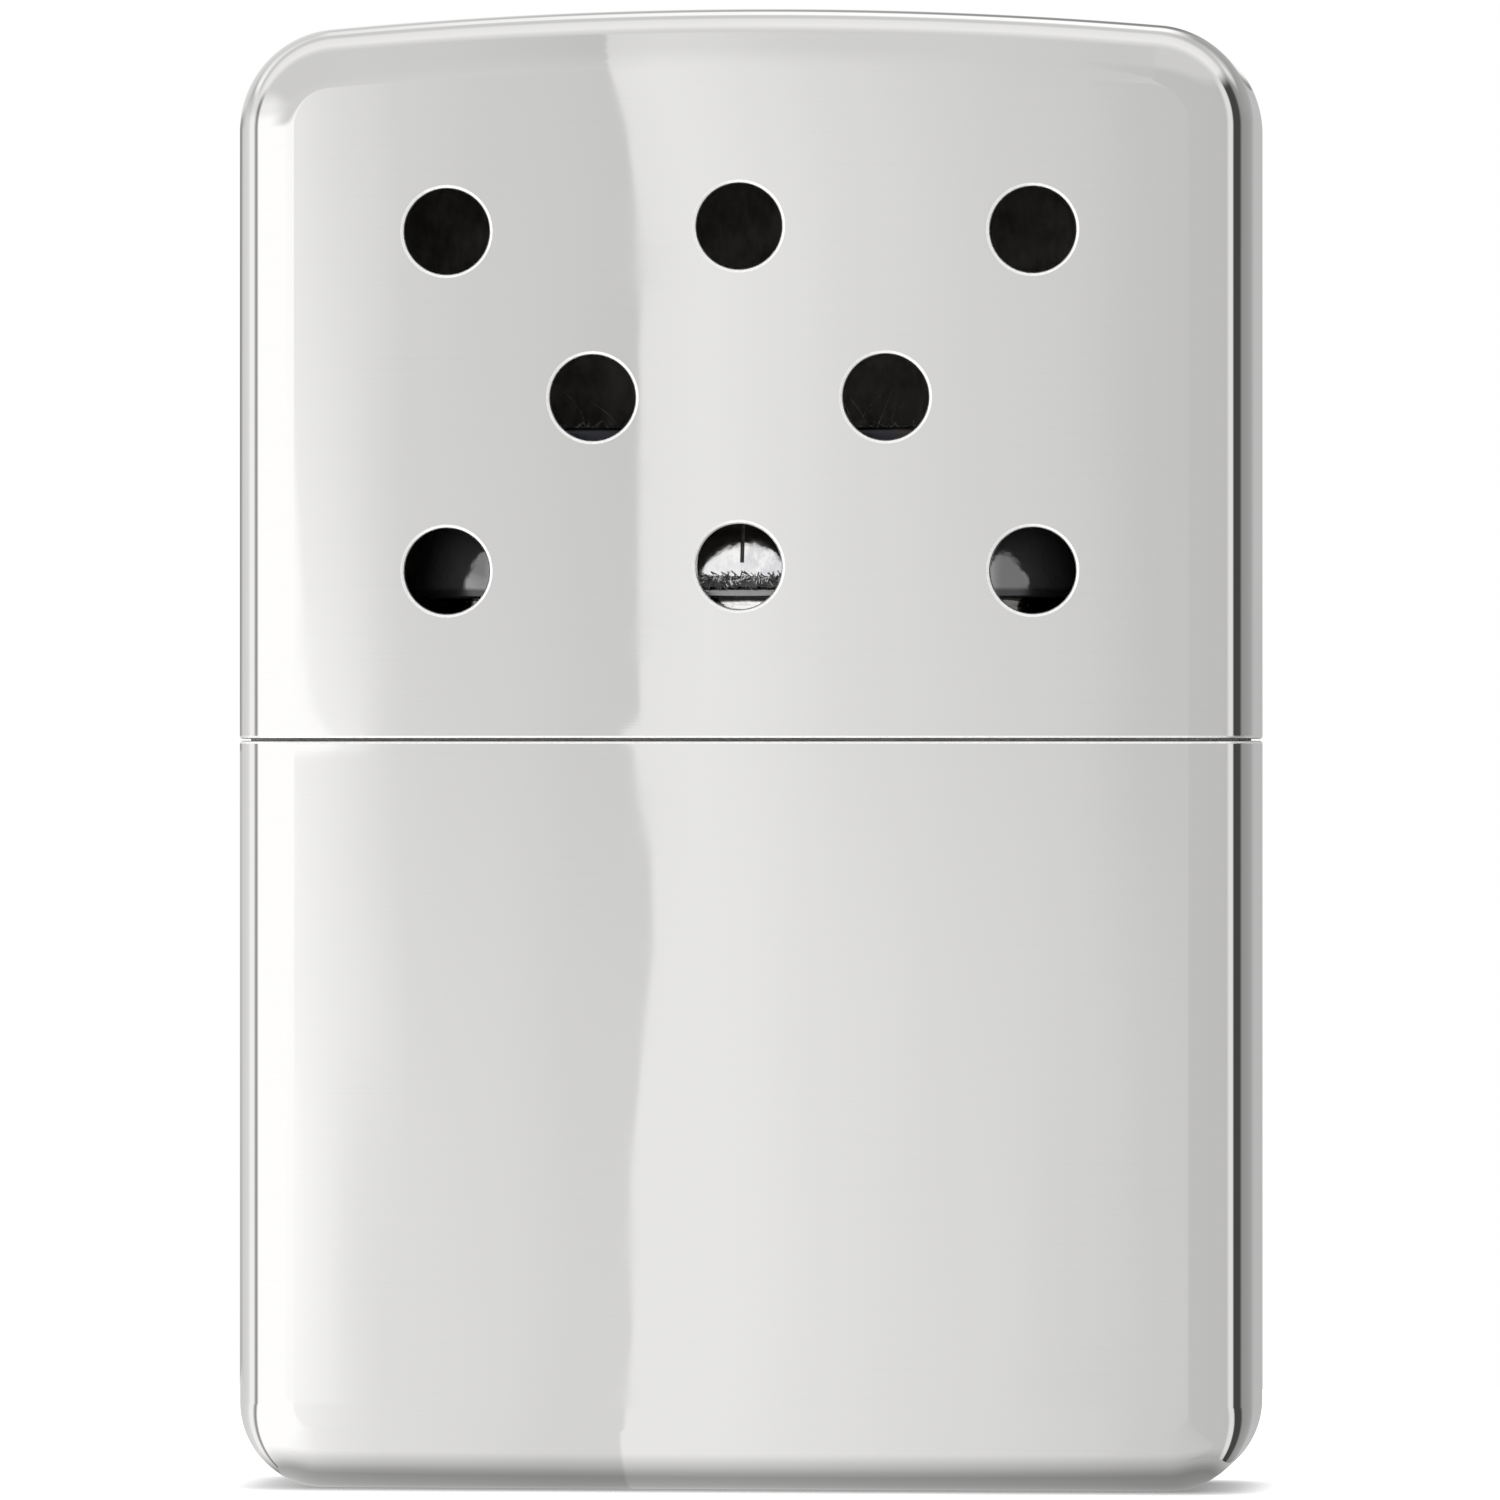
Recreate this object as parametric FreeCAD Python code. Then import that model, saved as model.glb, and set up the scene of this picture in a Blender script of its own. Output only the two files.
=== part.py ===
"""Catalytic hand warmer, pocket size.

A drawn and polished metal case in two halves. The lower half is the fuel tank, packed with cotton
and closed by a pressed top that carries the filler neck. The burner, a stadium-shaped cage that
holds platinum-coated glass fibre, is pushed over the neck. The upper half is the vented lid, which
slides over the collar of the tank top.

Frame: millimetres, +Z up, +X across the case, +Y from the vented front to the plain back. The
origin is the middle of the flat bottom on which the case stands.
"""
import FreeCAD, Part
import math
import os

Vector = FreeCAD.Vector

# Case: the outer form that lid and tank share
CASE_WIDTH = 49.0
CASE_DEPTH = 14.0
CASE_WALL = 0.45
FACE_CROWN = 0.35
TANK_HEIGHT = 36.0
LID_HEIGHT = 35.2
EDGE_RADIUS = 3.0
BOTTOM_CORNER_RADIUS = 4.1
TOP_CORNER_RADIUS = 4.9
TOP_ARCH_RADIUS = 232.0
SEAM_GAP = 0.1
LIP_RADIUS = 0.12

# Vents in the front of the lid: rows from the bottom up, every other row staggered, all gently arched
VENT_ROWS = (3, 2, 3)
VENT_ROW_ARCH_RADIUS = 480.0
VENT_DIAMETER = 4.1
VENT_BEVEL = 0.18
VENT_SIDE_MARGIN = 10.4
VENT_SEAM_MARGIN = 8.35
VENT_TOP_MARGIN = 10.55

# Tank top: a pressed cap whose skirt fits inside the tank and whose collar holds the lid
COLLAR_CLEARANCE = 0.1
COLLAR_HEIGHT = 5.0
COLLAR_SKIRT = 4.0
COLLAR_WALL = 0.5
DECK_EDGE_RADIUS = 1.0
DIMPLE_SPHERE_RADIUS = 8.0
DIMPLE_RUNNING_GAP = 0.03
DIMPLE_SPAN = 25.0

# Filler neck
NECK_HEIGHT = 4.2
NECK_WALL = 0.45
NECK_BEAD_HEIGHT = 0.6
NECK_FLANGE_WIDTH = 1.1
NECK_FLANGE_THICKNESS = 0.4

# Cotton that soaks up the fuel
COTTON_CLEARANCE = 0.15
COTTON_HEADROOM = 0.3

# Burner: every outline is the stadium at the foot of the band, moved in or out
BURNER_WIDTH = 33.0
BURNER_AIR_GAP = 1.05
BURNER_FOOT_GAP = 0.2
PART_CLEARANCE = 0.02
NECK_CLEARANCE = 0.05
BASE_WALL = 0.4
BASE_LEDGE_HEIGHT = 2.3
BASE_SEAT_GAP = 0.1
BASE_SEAT_WIDTH = 0.8
BASE_EDGE_RADIUS = 0.4
DIFFUSER_THICKNESS = 0.3
DIFFUSER_MARGIN = 0.3
DIFFUSER_HOLE_DIAMETER = 2.2
DIFFUSER_HOLE_PITCH = 4.4
WOOL_HEIGHT = 4.4
CLOTH_THICKNESS = 0.25
CLOTH_CLEARANCE = 0.05
SLEEVE_CLEARANCE = 0.07
BAND_WALL = 0.35
BAND_LAP = 0.45
BAND_LEAN = 0.7
BAND_LEAN_HEIGHT = 2.6
BAND_SLOT_LENGTH = 18.0
BAND_SLOT_HEIGHT = 0.55
BAND_SEAM_WIDTH = 0.16
BAND_SEAM_START = 0.8
GRILLE_WALL = 0.3
GRILLE_LAP = 0.9
GRILLE_EDGE_RADIUS = 0.3
GRILLE_RIM_WIDTH = 1.9
GRILLE_STRAP_WIDTH = 1.1
GRILLE_WINDOWS = 5
GRILLE_CORNER_RADIUS = 0.4

# Derived form and heights of the case
case_height = TANK_HEIGHT + LID_HEIGHT
crown_radius = (CASE_WIDTH ** 2 / 4 + FACE_CROWN ** 2) / (2 * FACE_CROWN)
crown_centre = CASE_DEPTH / 2 - crown_radius
lid_lip = TANK_HEIGHT + SEAM_GAP
deck_top = TANK_HEIGHT + COLLAR_HEIGHT
deck_underside = deck_top - COLLAR_WALL
neck_top = deck_top + NECK_HEIGHT
neck_foot = deck_underside - NECK_FLANGE_THICKNESS
cotton_top = neck_foot - COTTON_HEADROOM
base_foot = deck_top + BURNER_FOOT_GAP
base_ledge = deck_top + BASE_LEDGE_HEIGHT
base_top = neck_top + BASE_SEAT_GAP + BASE_WALL
diffuser_top = base_top + DIFFUSER_THICKNESS
wool_top = diffuser_top + WOOL_HEIGHT
cloth_top = wool_top + CLOTH_CLEARANCE + CLOTH_THICKNESS
band_top = cloth_top + CLOTH_CLEARANCE
band_foot = base_ledge - BAND_LAP
lean_foot = base_ledge + BAND_SLOT_HEIGHT
lean_top = lean_foot + BAND_LEAN_HEIGHT
grille_top = band_top + GRILLE_WALL

# Derived inset of the collar from the outside of the case, and depth of the burner at its foot
collar_inset = CASE_WALL + COLLAR_CLEARANCE
band_depth = CASE_DEPTH - 2 * (CASE_WALL + BURNER_AIR_GAP)


def band_lean(z):
    """How far the band's wall has leaned in at height z: upright, then sloping, then upright again."""
    share = (z - lean_foot) / BAND_LEAN_HEIGHT
    return BAND_LEAN * min(1.0, max(0.0, share))


# Derived offsets inwards from the outside of the band's foot
grille_outer = BAND_LEAN - GRILLE_WALL - PART_CLEARANCE
skirt_outer = BAND_WALL + PART_CLEARANCE
skirt_inner = skirt_outer + BASE_WALL
cloth_outer = BAND_WALL + CLOTH_CLEARANCE
cloth_inner = cloth_outer + CLOTH_THICKNESS
wool_outer = BAND_LEAN + cloth_inner + CLOTH_CLEARANCE
sleeve_outer = band_lean(base_top) + cloth_inner + SLEEVE_CLEARANCE
sleeve_inner = sleeve_outer + BASE_WALL
neck_outer = sleeve_inner + NECK_CLEARANCE
neck_inner = neck_outer + NECK_WALL
bead_outer = skirt_inner + COLLAR_CLEARANCE

# How close a measured height must be to count as the same height
SAME = 1e-4


def at_height(z):
    """A test for edges that lie flat at height z."""
    def test(edge):
        box = edge.BoundBox
        return abs(box.ZMin - z) < SAME and abs(box.ZMax - z) < SAME
    return test


def round_edges(solid, radius, chosen):
    """The solid with every chosen edge rounded."""
    return solid.makeFillet(radius, [edge for edge in solid.Edges if chosen(edge)])


def prism(face, bottom, top):
    """A flat XY face made into a solid from one height to another."""
    lifted = face.copy()
    lifted.translate(Vector(0, 0, bottom))
    return lifted.extrude(Vector(0, 0, top - bottom))


def upright(edge):
    """Whether an edge runs straight up."""
    box = edge.BoundBox
    return box.XLength < SAME and box.YLength < SAME


def slab(bottom, top):
    """A block wider and deeper than the case, from one height to another."""
    block = Part.makeBox(2 * CASE_WIDTH, 2 * CASE_DEPTH, top - bottom)
    block.translate(Vector(-CASE_WIDTH, -CASE_DEPTH, bottom))
    return block


def stadium(width, depth):
    """An XY face with straight long sides and half-round ends."""
    run, radius = (width - depth) / 2, depth / 2
    edges = [
        Part.makeLine(Vector(-run, -radius, 0), Vector(run, -radius, 0)),
        Part.Arc(Vector(run, -radius, 0), Vector(run + radius, 0, 0), Vector(run, radius, 0)).toShape(),
        Part.makeLine(Vector(run, radius, 0), Vector(-run, radius, 0)),
        Part.Arc(Vector(-run, radius, 0), Vector(-run - radius, 0, 0), Vector(-run, -radius, 0)).toShape(),
    ]
    return Part.Face(Part.Wire(edges))


def burner_section(offset):
    """The outline of the band's foot, moved in by offset."""
    return stadium(BURNER_WIDTH - 2 * offset, band_depth - 2 * offset)


def leaning_block(offset, bottom, top):
    """A block that keeps its sides at one distance from the leaning outside of the band."""
    bends = [z for z in (lean_foot, lean_top) if bottom < z < top]
    outlines = []
    for z in [bottom] + bends + [top]:
        outline = burner_section(offset + band_lean(z)).OuterWire
        outline.translate(Vector(0, 0, z))
        outlines.append(outline)
    return Part.makeLoft(outlines, True, True)


def cup(section, offset, wall, mouth, crown, radius=0):
    """An upturned cup: open at the mouth and closed at the crown, where the edge may be rounded."""
    ceiling = crown - wall
    outside = prism(section(offset), mouth, crown)
    inside = prism(section(offset + wall), mouth, ceiling)
    if radius > 0:
        outside = round_edges(outside, radius, at_height(crown))
    if radius > wall:
        inside = round_edges(inside, radius - wall, at_height(ceiling))
    return outside.cut(inside)


def case_outline(inset):
    """The front view of the case as an XZ face: flat bottom, arched top and four round corners."""
    half = CASE_WIDTH / 2 - inset
    bottom, top = inset, case_height - inset
    low, high, arch = (r - inset for r in (BOTTOM_CORNER_RADIUS, TOP_CORNER_RADIUS, TOP_ARCH_RADIUS))
    arch_centre = top - arch
    corner_x = half - high
    corner_z = arch_centre + math.sqrt((arch - high) ** 2 - corner_x ** 2)
    lean = math.atan2(corner_x, corner_z - arch_centre)
    half_lean = (math.pi / 2 + lean) / 2
    joint = Vector(arch * math.sin(lean), 0, arch_centre + arch * math.cos(lean))
    middle = Vector(corner_x + high * math.sin(half_lean), 0, corner_z + high * math.cos(half_lean))
    slant = low * (1 - math.sqrt(0.5))

    def mirrored(point):
        return Vector(-point.x, point.y, point.z)

    right = [
        Part.makeLine(Vector(0, 0, bottom), Vector(half - low, 0, bottom)),
        Part.Arc(
            Vector(half - low, 0, bottom),
            Vector(half - slant, 0, bottom + slant),
            Vector(half, 0, bottom + low),
        ).toShape(),
        Part.makeLine(Vector(half, 0, bottom + low), Vector(half, 0, corner_z)),
        Part.Arc(Vector(half, 0, corner_z), middle, joint).toShape(),
    ]
    arch_edge = Part.Arc(joint, Vector(0, 0, top), mirrored(joint)).toShape()
    left = [edge.mirror(Vector(0, 0, 0), Vector(1, 0, 0)) for edge in right]
    return Part.Face(Part.Wire(Part.__sortEdges__(right + [arch_edge] + left)))


def crowned_slab(inset):
    """An upright slab between the two crowned faces, moved in by inset and longer than the case."""
    radius = crown_radius - inset
    slabs = []
    for side in (-1, 1):
        axis_foot = Vector(0, side * crown_centre, -CASE_DEPTH)
        slabs.append(Part.makeCylinder(radius, case_height + 2 * CASE_DEPTH, axis_foot))
    return slabs[0].common(slabs[1])


def case_body(inset):
    """The whole case as one block, moved in by inset, with both faces rolled into the sides."""
    outline = case_outline(inset)
    outline.translate(Vector(0, -CASE_DEPTH, 0))
    block = outline.extrude(Vector(0, 2 * CASE_DEPTH, 0)).common(crowned_slab(inset))

    def borders_a_face(edge):
        box = edge.BoundBox
        return abs(box.Center.y) > CASE_DEPTH / 2 - inset - 2 * FACE_CROWN

    return round_edges(block, EDGE_RADIUS - inset, borders_a_face)


def case_section(inset):
    """The case's cross-section at the seam, moved in by inset, lying at height zero."""
    section = Part.Face(case_body(inset).slice(Vector(0, 0, 1), TANK_HEIGHT))
    section.translate(Vector(0, 0, -TANK_HEIGHT))
    return section


def face_reach(x, inset):
    """How far the crowned face, moved in by inset, stands from the middle plane at x."""
    return crown_centre + math.sqrt((crown_radius - inset) ** 2 - x ** 2)


def vent_centres():
    """Where each vent goes, as (x, z)."""
    widest = max(VENT_ROWS)
    pitch = (CASE_WIDTH - 2 * VENT_SIDE_MARGIN) / (widest - 1)
    rise = (LID_HEIGHT - VENT_SEAM_MARGIN - VENT_TOP_MARGIN) / (len(VENT_ROWS) - 1)
    centres = []
    for row, count in enumerate(VENT_ROWS):
        for column in range(count):
            x = (column - (count - 1) / 2) * pitch
            sag = VENT_ROW_ARCH_RADIUS - math.sqrt(VENT_ROW_ARCH_RADIUS ** 2 - x ** 2)
            centres.append((x, TANK_HEIGHT + VENT_SEAM_MARGIN + row * rise - sag))
    return centres


def lid_shell():
    """The vented upper half of the case, open at its lip."""
    outside = case_body(0).common(slab(lid_lip, case_height + EDGE_RADIUS))
    outside = round_edges(outside, LIP_RADIUS, at_height(lid_lip))
    shell = outside.cut(case_body(CASE_WALL))
    for x, z in vent_centres():
        place = Vector(x, -face_reach(x, -CASE_WALL), z)
        shell = shell.cut(Part.makeCylinder(VENT_DIAMETER / 2, 3 * CASE_WALL, place, Vector(0, 1, 0)))

    def outer_vent_edge(edge):
        middle = edge.CenterOfMass
        goes_round = math.isclose(edge.Length, math.pi * VENT_DIAMETER, rel_tol=0.01)
        return goes_round and middle.y < -face_reach(middle.x, CASE_WALL / 2)

    return shell.makeChamfer(VENT_BEVEL, [edge for edge in shell.Edges if outer_vent_edge(edge)])


def tank_shell():
    """The plain lower half of the case, open at its lip."""
    outside = case_body(0).common(slab(-EDGE_RADIUS, TANK_HEIGHT))
    outside = round_edges(outside, LIP_RADIUS, at_height(TANK_HEIGHT))
    return outside.cut(case_body(CASE_WALL))


def press_dimple(cap, x, side):
    """The cap with one shallow dimple pressed out of its collar, to grip the lid."""
    face = face_reach(x, collar_inset)
    crest = face + COLLAR_CLEARANCE - DIMPLE_RUNNING_GAP
    height = TANK_HEIGHT + COLLAR_HEIGHT / 2
    centre = Vector(x, side * (crest - DIMPLE_SPHERE_RADIUS), height)
    outwards = Vector(0, side, 0)

    def tool(radius, start):
        place = Vector(x, side * start, height)
        return Part.makeSphere(radius, centre).common(Part.makeCylinder(COLLAR_HEIGHT / 3, crest, place, outwards))

    bulge = tool(DIMPLE_SPHERE_RADIUS, face - COLLAR_WALL / 2)
    hollow = tool(DIMPLE_SPHERE_RADIUS - COLLAR_WALL, face - 2 * COLLAR_WALL)
    return cap.fuse(bulge).cut(hollow)


def tank_top():
    """The pressed cap that closes the tank, with lid-holding dimples and the hole for the neck."""
    cap = cup(case_section, collar_inset, COLLAR_WALL, TANK_HEIGHT - COLLAR_SKIRT, deck_top, DECK_EDGE_RADIUS)
    for side in (-1, 1):
        for x in (-DIMPLE_SPAN / 2, DIMPLE_SPAN / 2):
            cap = press_dimple(cap, x, side)
    hole = prism(burner_section(neck_outer), deck_underside - DECK_EDGE_RADIUS, deck_top + DECK_EDGE_RADIUS)
    return cap.cut(hole).removeSplitter()


def filler_neck():
    """A drawn stadium tube, clenched to the deck between its bead and its flange."""
    tube = prism(burner_section(neck_outer), neck_foot, neck_top)
    bead = prism(burner_section(bead_outer), deck_top, deck_top + NECK_BEAD_HEIGHT)
    bead = round_edges(bead, NECK_BEAD_HEIGHT / 2, at_height(deck_top + NECK_BEAD_HEIGHT))
    flange = prism(burner_section(neck_outer - NECK_FLANGE_WIDTH), neck_foot, deck_underside)
    solid = tube.fuse([bead, flange]).removeSplitter()
    return solid.cut(prism(burner_section(neck_inner), neck_foot, neck_top))


def fuel_cotton():
    """The cotton packing: it fills the tank and the hollow of the tank top, short of the neck."""
    waist = TANK_HEIGHT - COLLAR_SKIRT - COTTON_CLEARANCE
    lower = case_body(CASE_WALL + COTTON_CLEARANCE).common(slab(-EDGE_RADIUS, waist))
    upper_section = case_section(collar_inset + COLLAR_WALL + COTTON_CLEARANCE)
    return lower.fuse(prism(upper_section, waist, cotton_top)).removeSplitter()


def burner_base():
    """The burner's foot: a stepped cup whose skirt hides the bead and whose sleeve grips the neck."""
    skirt = cup(burner_section, skirt_outer, BASE_WALL, base_foot, base_ledge, BASE_EDGE_RADIUS)
    sleeve = cup(burner_section, sleeve_outer, BASE_WALL, base_ledge - BASE_WALL, base_top, BASE_EDGE_RADIUS)
    opening = prism(burner_section(sleeve_inner), base_foot, neck_top)
    vapour_way = prism(burner_section(sleeve_inner + BASE_SEAT_WIDTH), base_foot, diffuser_top)
    return skirt.cut(opening).fuse(sleeve).cut(vapour_way).removeSplitter()


def diffuser_plate():
    """The punched plate that spreads the vapour under the fibre."""
    edge = sleeve_outer + DIFFUSER_MARGIN
    plate = prism(burner_section(edge), base_top, diffuser_top)
    radius = DIFFUSER_HOLE_DIAMETER / 2
    room_x = (BURNER_WIDTH - band_depth) / 2
    room_y = band_depth / 2 - sleeve_inner - BASE_SEAT_WIDTH - radius
    row_pitch = DIFFUSER_HOLE_PITCH * math.sqrt(0.75)
    rows = int(room_y // row_pitch)
    columns = int(room_x // DIFFUSER_HOLE_PITCH)
    for row in range(-rows, rows + 1):
        stagger = DIFFUSER_HOLE_PITCH / 2 if row % 2 else 0
        for column in range(-columns, columns + (0 if row % 2 else 1)):
            place = Vector(column * DIFFUSER_HOLE_PITCH + stagger, row * row_pitch, base_top)
            plate = plate.cut(Part.makeCylinder(radius, DIFFUSER_THICKNESS, place))
    return plate


def catalyst_wool():
    """The pad of coated glass wool that burns the vapour."""
    return prism(burner_section(wool_outer), diffuser_top, wool_top)


def catalyst_cloth():
    """The woven glass cover over the wool, down to the ledge of the base."""
    hem = base_ledge + CLOTH_CLEARANCE
    outside = leaning_block(cloth_outer, hem, cloth_top)
    return outside.cut(leaning_block(cloth_inner, hem, cloth_top - CLOTH_THICKNESS))


def burner_band():
    """The wall of the cage: a strip bent round and flared at its foot, with air slots and an open butt seam."""
    band = leaning_block(0, band_foot, band_top).cut(leaning_block(BAND_WALL, band_foot, band_top))
    slot = stadium(BAND_SLOT_LENGTH, BAND_SLOT_HEIGHT).extrude(Vector(0, 0, 2 * band_depth))
    slot.rotate(Vector(0, 0, 0), Vector(1, 0, 0), 90)
    slot.translate(Vector(0, band_depth, base_ledge + BAND_SLOT_HEIGHT / 2))
    seam_foot = lean_foot + BAND_SEAM_START
    seam = Part.makeBox(BAND_SEAM_WIDTH, band_depth / 2, band_top - seam_foot)
    seam.translate(Vector(-BAND_SEAM_WIDTH / 2, -band_depth / 2 - BAND_WALL, seam_foot))
    return band.cut(slot).cut(seam)


def burner_grille():
    """The stamped cap of the cage, with straps between its windows."""
    cap = cup(burner_section, grille_outer, GRILLE_WALL, band_top - GRILLE_LAP, grille_top, GRILLE_EDGE_RADIUS)
    rim = grille_outer + GRILLE_RIM_WIDTH
    windows = prism(burner_section(rim), band_top - GRILLE_WALL, grille_top + GRILLE_WALL)
    pitch = (BURNER_WIDTH - 2 * rim + GRILLE_STRAP_WIDTH) / GRILLE_WINDOWS
    for number in range(1, GRILLE_WINDOWS):
        middle = (number - GRILLE_WINDOWS / 2) * pitch
        strap = Part.makeBox(GRILLE_STRAP_WIDTH, band_depth, 4 * GRILLE_WALL)
        strap.translate(Vector(middle - GRILLE_STRAP_WIDTH / 2, -band_depth / 2, band_top - 2 * GRILLE_WALL))
        windows = windows.cut(strap)
    return cap.cut(round_edges(windows, GRILLE_CORNER_RADIUS, upright))


NODES = {
    "lid_shell": lid_shell,
    "tank_shell": tank_shell,
    "tank_top": tank_top,
    "filler_neck": filler_neck,
    "fuel_cotton": fuel_cotton,
    "burner_base": burner_base,
    "diffuser_plate": diffuser_plate,
    "catalyst_wool": catalyst_wool,
    "catalyst_cloth": catalyst_cloth,
    "burner_band": burner_band,
    "burner_grille": burner_grille,
}


def main():
    os.makedirs("parts", exist_ok=True)
    for name, make in NODES.items():
        shape = make()
        solids = shape.Solids
        if not solids or not all(solid.isValid() and solid.Volume > 0 for solid in solids):
            raise RuntimeError("%s is not made of sound solids" % name)
        solid = solids[0] if len(solids) == 1 else Part.makeCompound(solids)
        solid.exportStep(os.path.join("parts", name + ".step"))
        box = solid.BoundBox
        print("%-16s %d solid(s) %9.2f mm3  x %.2f..%.2f  y %.2f..%.2f  z %.2f..%.2f" % (
            name, len(solids), solid.Volume, box.XMin, box.XMax, box.YMin, box.YMax, box.ZMin, box.ZMax))


main()
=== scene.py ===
"""Looks of a pocket hand warmer: polished case, catalytic burner, cotton, glass fibre and the studio."""
import math

import bmesh
import bpy
import numpy as np
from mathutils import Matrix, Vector, noise
from mathutils.geometry import delaunay_2d_cdt


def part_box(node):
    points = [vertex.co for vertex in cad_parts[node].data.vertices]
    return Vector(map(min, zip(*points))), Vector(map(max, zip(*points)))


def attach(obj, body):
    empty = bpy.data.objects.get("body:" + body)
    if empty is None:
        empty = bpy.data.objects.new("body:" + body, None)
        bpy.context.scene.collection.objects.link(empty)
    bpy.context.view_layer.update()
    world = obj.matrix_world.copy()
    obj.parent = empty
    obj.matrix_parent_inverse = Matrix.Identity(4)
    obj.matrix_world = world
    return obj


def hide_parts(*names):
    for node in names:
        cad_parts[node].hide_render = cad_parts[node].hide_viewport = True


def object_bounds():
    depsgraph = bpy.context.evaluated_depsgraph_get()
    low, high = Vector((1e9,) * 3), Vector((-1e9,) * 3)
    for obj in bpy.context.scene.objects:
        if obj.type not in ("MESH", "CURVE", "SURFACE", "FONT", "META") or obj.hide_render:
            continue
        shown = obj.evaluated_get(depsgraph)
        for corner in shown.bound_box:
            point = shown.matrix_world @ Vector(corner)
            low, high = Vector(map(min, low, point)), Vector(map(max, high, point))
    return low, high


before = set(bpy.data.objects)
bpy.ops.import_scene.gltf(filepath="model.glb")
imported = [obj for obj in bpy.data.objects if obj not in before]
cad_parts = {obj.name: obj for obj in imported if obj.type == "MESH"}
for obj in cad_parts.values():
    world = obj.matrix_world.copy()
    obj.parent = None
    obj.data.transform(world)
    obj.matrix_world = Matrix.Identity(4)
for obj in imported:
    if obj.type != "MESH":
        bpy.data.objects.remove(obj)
cad_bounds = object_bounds()

MM = 0.001
DEGREES = 180 / math.pi
BLACK = (0, 0, 0, 1)
WHITE = (1, 1, 1, 1)

# Case, in millimetres
CASE_WALL = 0.45
EDGE_RADIUS = 3.0
FACE_CROWN = 0.35
BOTTOM_CORNER_RADIUS = 4.1
TOP_CORNER_RADIUS = 4.9
TOP_ARCH_RADIUS = 232.0
LIP_RADIUS = 0.14
# How far round each lip the bright edge finish, with its painted highlight, reaches
LIP_BUFFED = math.radians(58)
VENT_RADIUS = 2.05
VENT_ROLL = 0.18
VENT_COLUMN_PITCH = 14.1
VENT_ROW_HEIGHTS = (44.35, 52.5, 60.65)
VENT_ROW_ARCH = 480.0
VENT_ROW_COUNTS = (3, 2, 3)

# Material slots of a case half
OUTSIDE = 0
INSIDE = 1
EDGE = 2

# Burner, in millimetres: insets go inwards from the outside of the band's foot
BAND_WALL = 0.35
BAND_LAP = 0.45
BAND_LEAN = 0.7
BAND_LEAN_HEIGHT = 2.6
BAND_BEND = 0.7
BAND_ROLL = 0.14
BAND_SLOT_LENGTH = 18.0
BAND_SLOT_HEIGHT = 0.55
BAND_SEAM_WIDTH = 0.16
BAND_SEAM_ROLL = 0.02
BAND_SEAM_START = 0.8
BAND_END_FADE = 1.6
BAND_HEAT_START = 45.0
BAND_HEAT_RISE = 6.0
COVER_INSET = 0.4
COVER_CORNER = 0.5
WEAVE_PITCH = 0.75
WEAVE_HEIGHT = 0.1
WOOL_CORNER = 0.8
WOOL_LUMP_SIZE = 0.7
WOOL_LUMPS = 0.12
HEM_RAGGED = (-0.04, 0.08)
HEM_SEED = 11

# Cotton, in millimetres: it lies in from the tank's walls, with lumps of two sizes
COTTON_SUNK = 0.4
COTTON_LUMPS = 0.25
COTTON_LUMP_SIZES = (0.35, 1.1)

# Loose fibres, in millimetres
SHORTEST_FIBRE = 0.35
FIBRE_BENDS = 5
FIBRE_SIDES = 4
TOP_FRAY_DEPTH = 2.8
LINT_WIDTH = 12.5
LINT_DEPTH = 2.6
LINT_SUNK = 0.5

# How finely the burner is divided
BAND_SIDES = 160
BAND_GRID = 0.5
BAND_ROLL_STEPS = 4
SEAM_STEPS = 20
SLOT_STEPS = 60
SLOT_END_STEPS = 8
COVER_GRID = 0.15
WOOL_GRID = 0.5
COTTON_GRID = 0.9

# How finely the case is divided
PATH_STEP = 1.1
CORNER_STEP = math.radians(3)
ROLL_STEPS = 18
SIDE_STRIPS = 6
LIP_STEPS = 5
FACE_GRID = 1.6
VENT_SIDES = 96
VENT_ROLL_STEPS = 6

# Camera: its distance is in metres, its shifts and its sensor in millimetres
CAMERA_AZIMUTH = math.radians(5.4)
CAMERA_DISTANCE = 0.65
CAMERA_ASIDE = -0.12
CAMERA_RISE = -0.04
SENSOR_WIDTH = 36.0
FRAME_FILL = 1487 / 1500


def corners(node):
    """A node's lowest and highest corners, in millimetres."""
    low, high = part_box(node)
    return low / MM, high / MM


lid_low, lid_high = corners("lid_shell")
tank_low, tank_high = corners("tank_shell")
half_width = tank_high.x
half_depth = tank_high.y
crown_radius = (half_width ** 2 + FACE_CROWN ** 2) / (2 * FACE_CROWN)
case_top = lid_high.z


def face_reach(x):
    """How far the crowned face stands from the middle plane at x."""
    return half_depth - crown_radius + np.sqrt(crown_radius ** 2 - x ** 2)


# ---------------------------------------------------------------- meshes

def add_object(name, data):
    """An object in the scene from a mesh or other data."""
    made = bpy.data.objects.new(name, data)
    bpy.context.scene.collection.objects.link(made)
    return made


def applied(source):
    """The mesh that an object's modifiers make of it. The object itself is removed."""
    mesh = bpy.data.meshes.new_from_object(source.evaluated_get(bpy.context.evaluated_depsgraph_get()))
    bpy.data.objects.remove(source)
    return mesh


def carried(name, mesh, body):
    """A piece of the warmer from its finished mesh: it rides on a body."""
    piece = add_object(name, mesh)
    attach(piece, body)
    return piece


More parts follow.
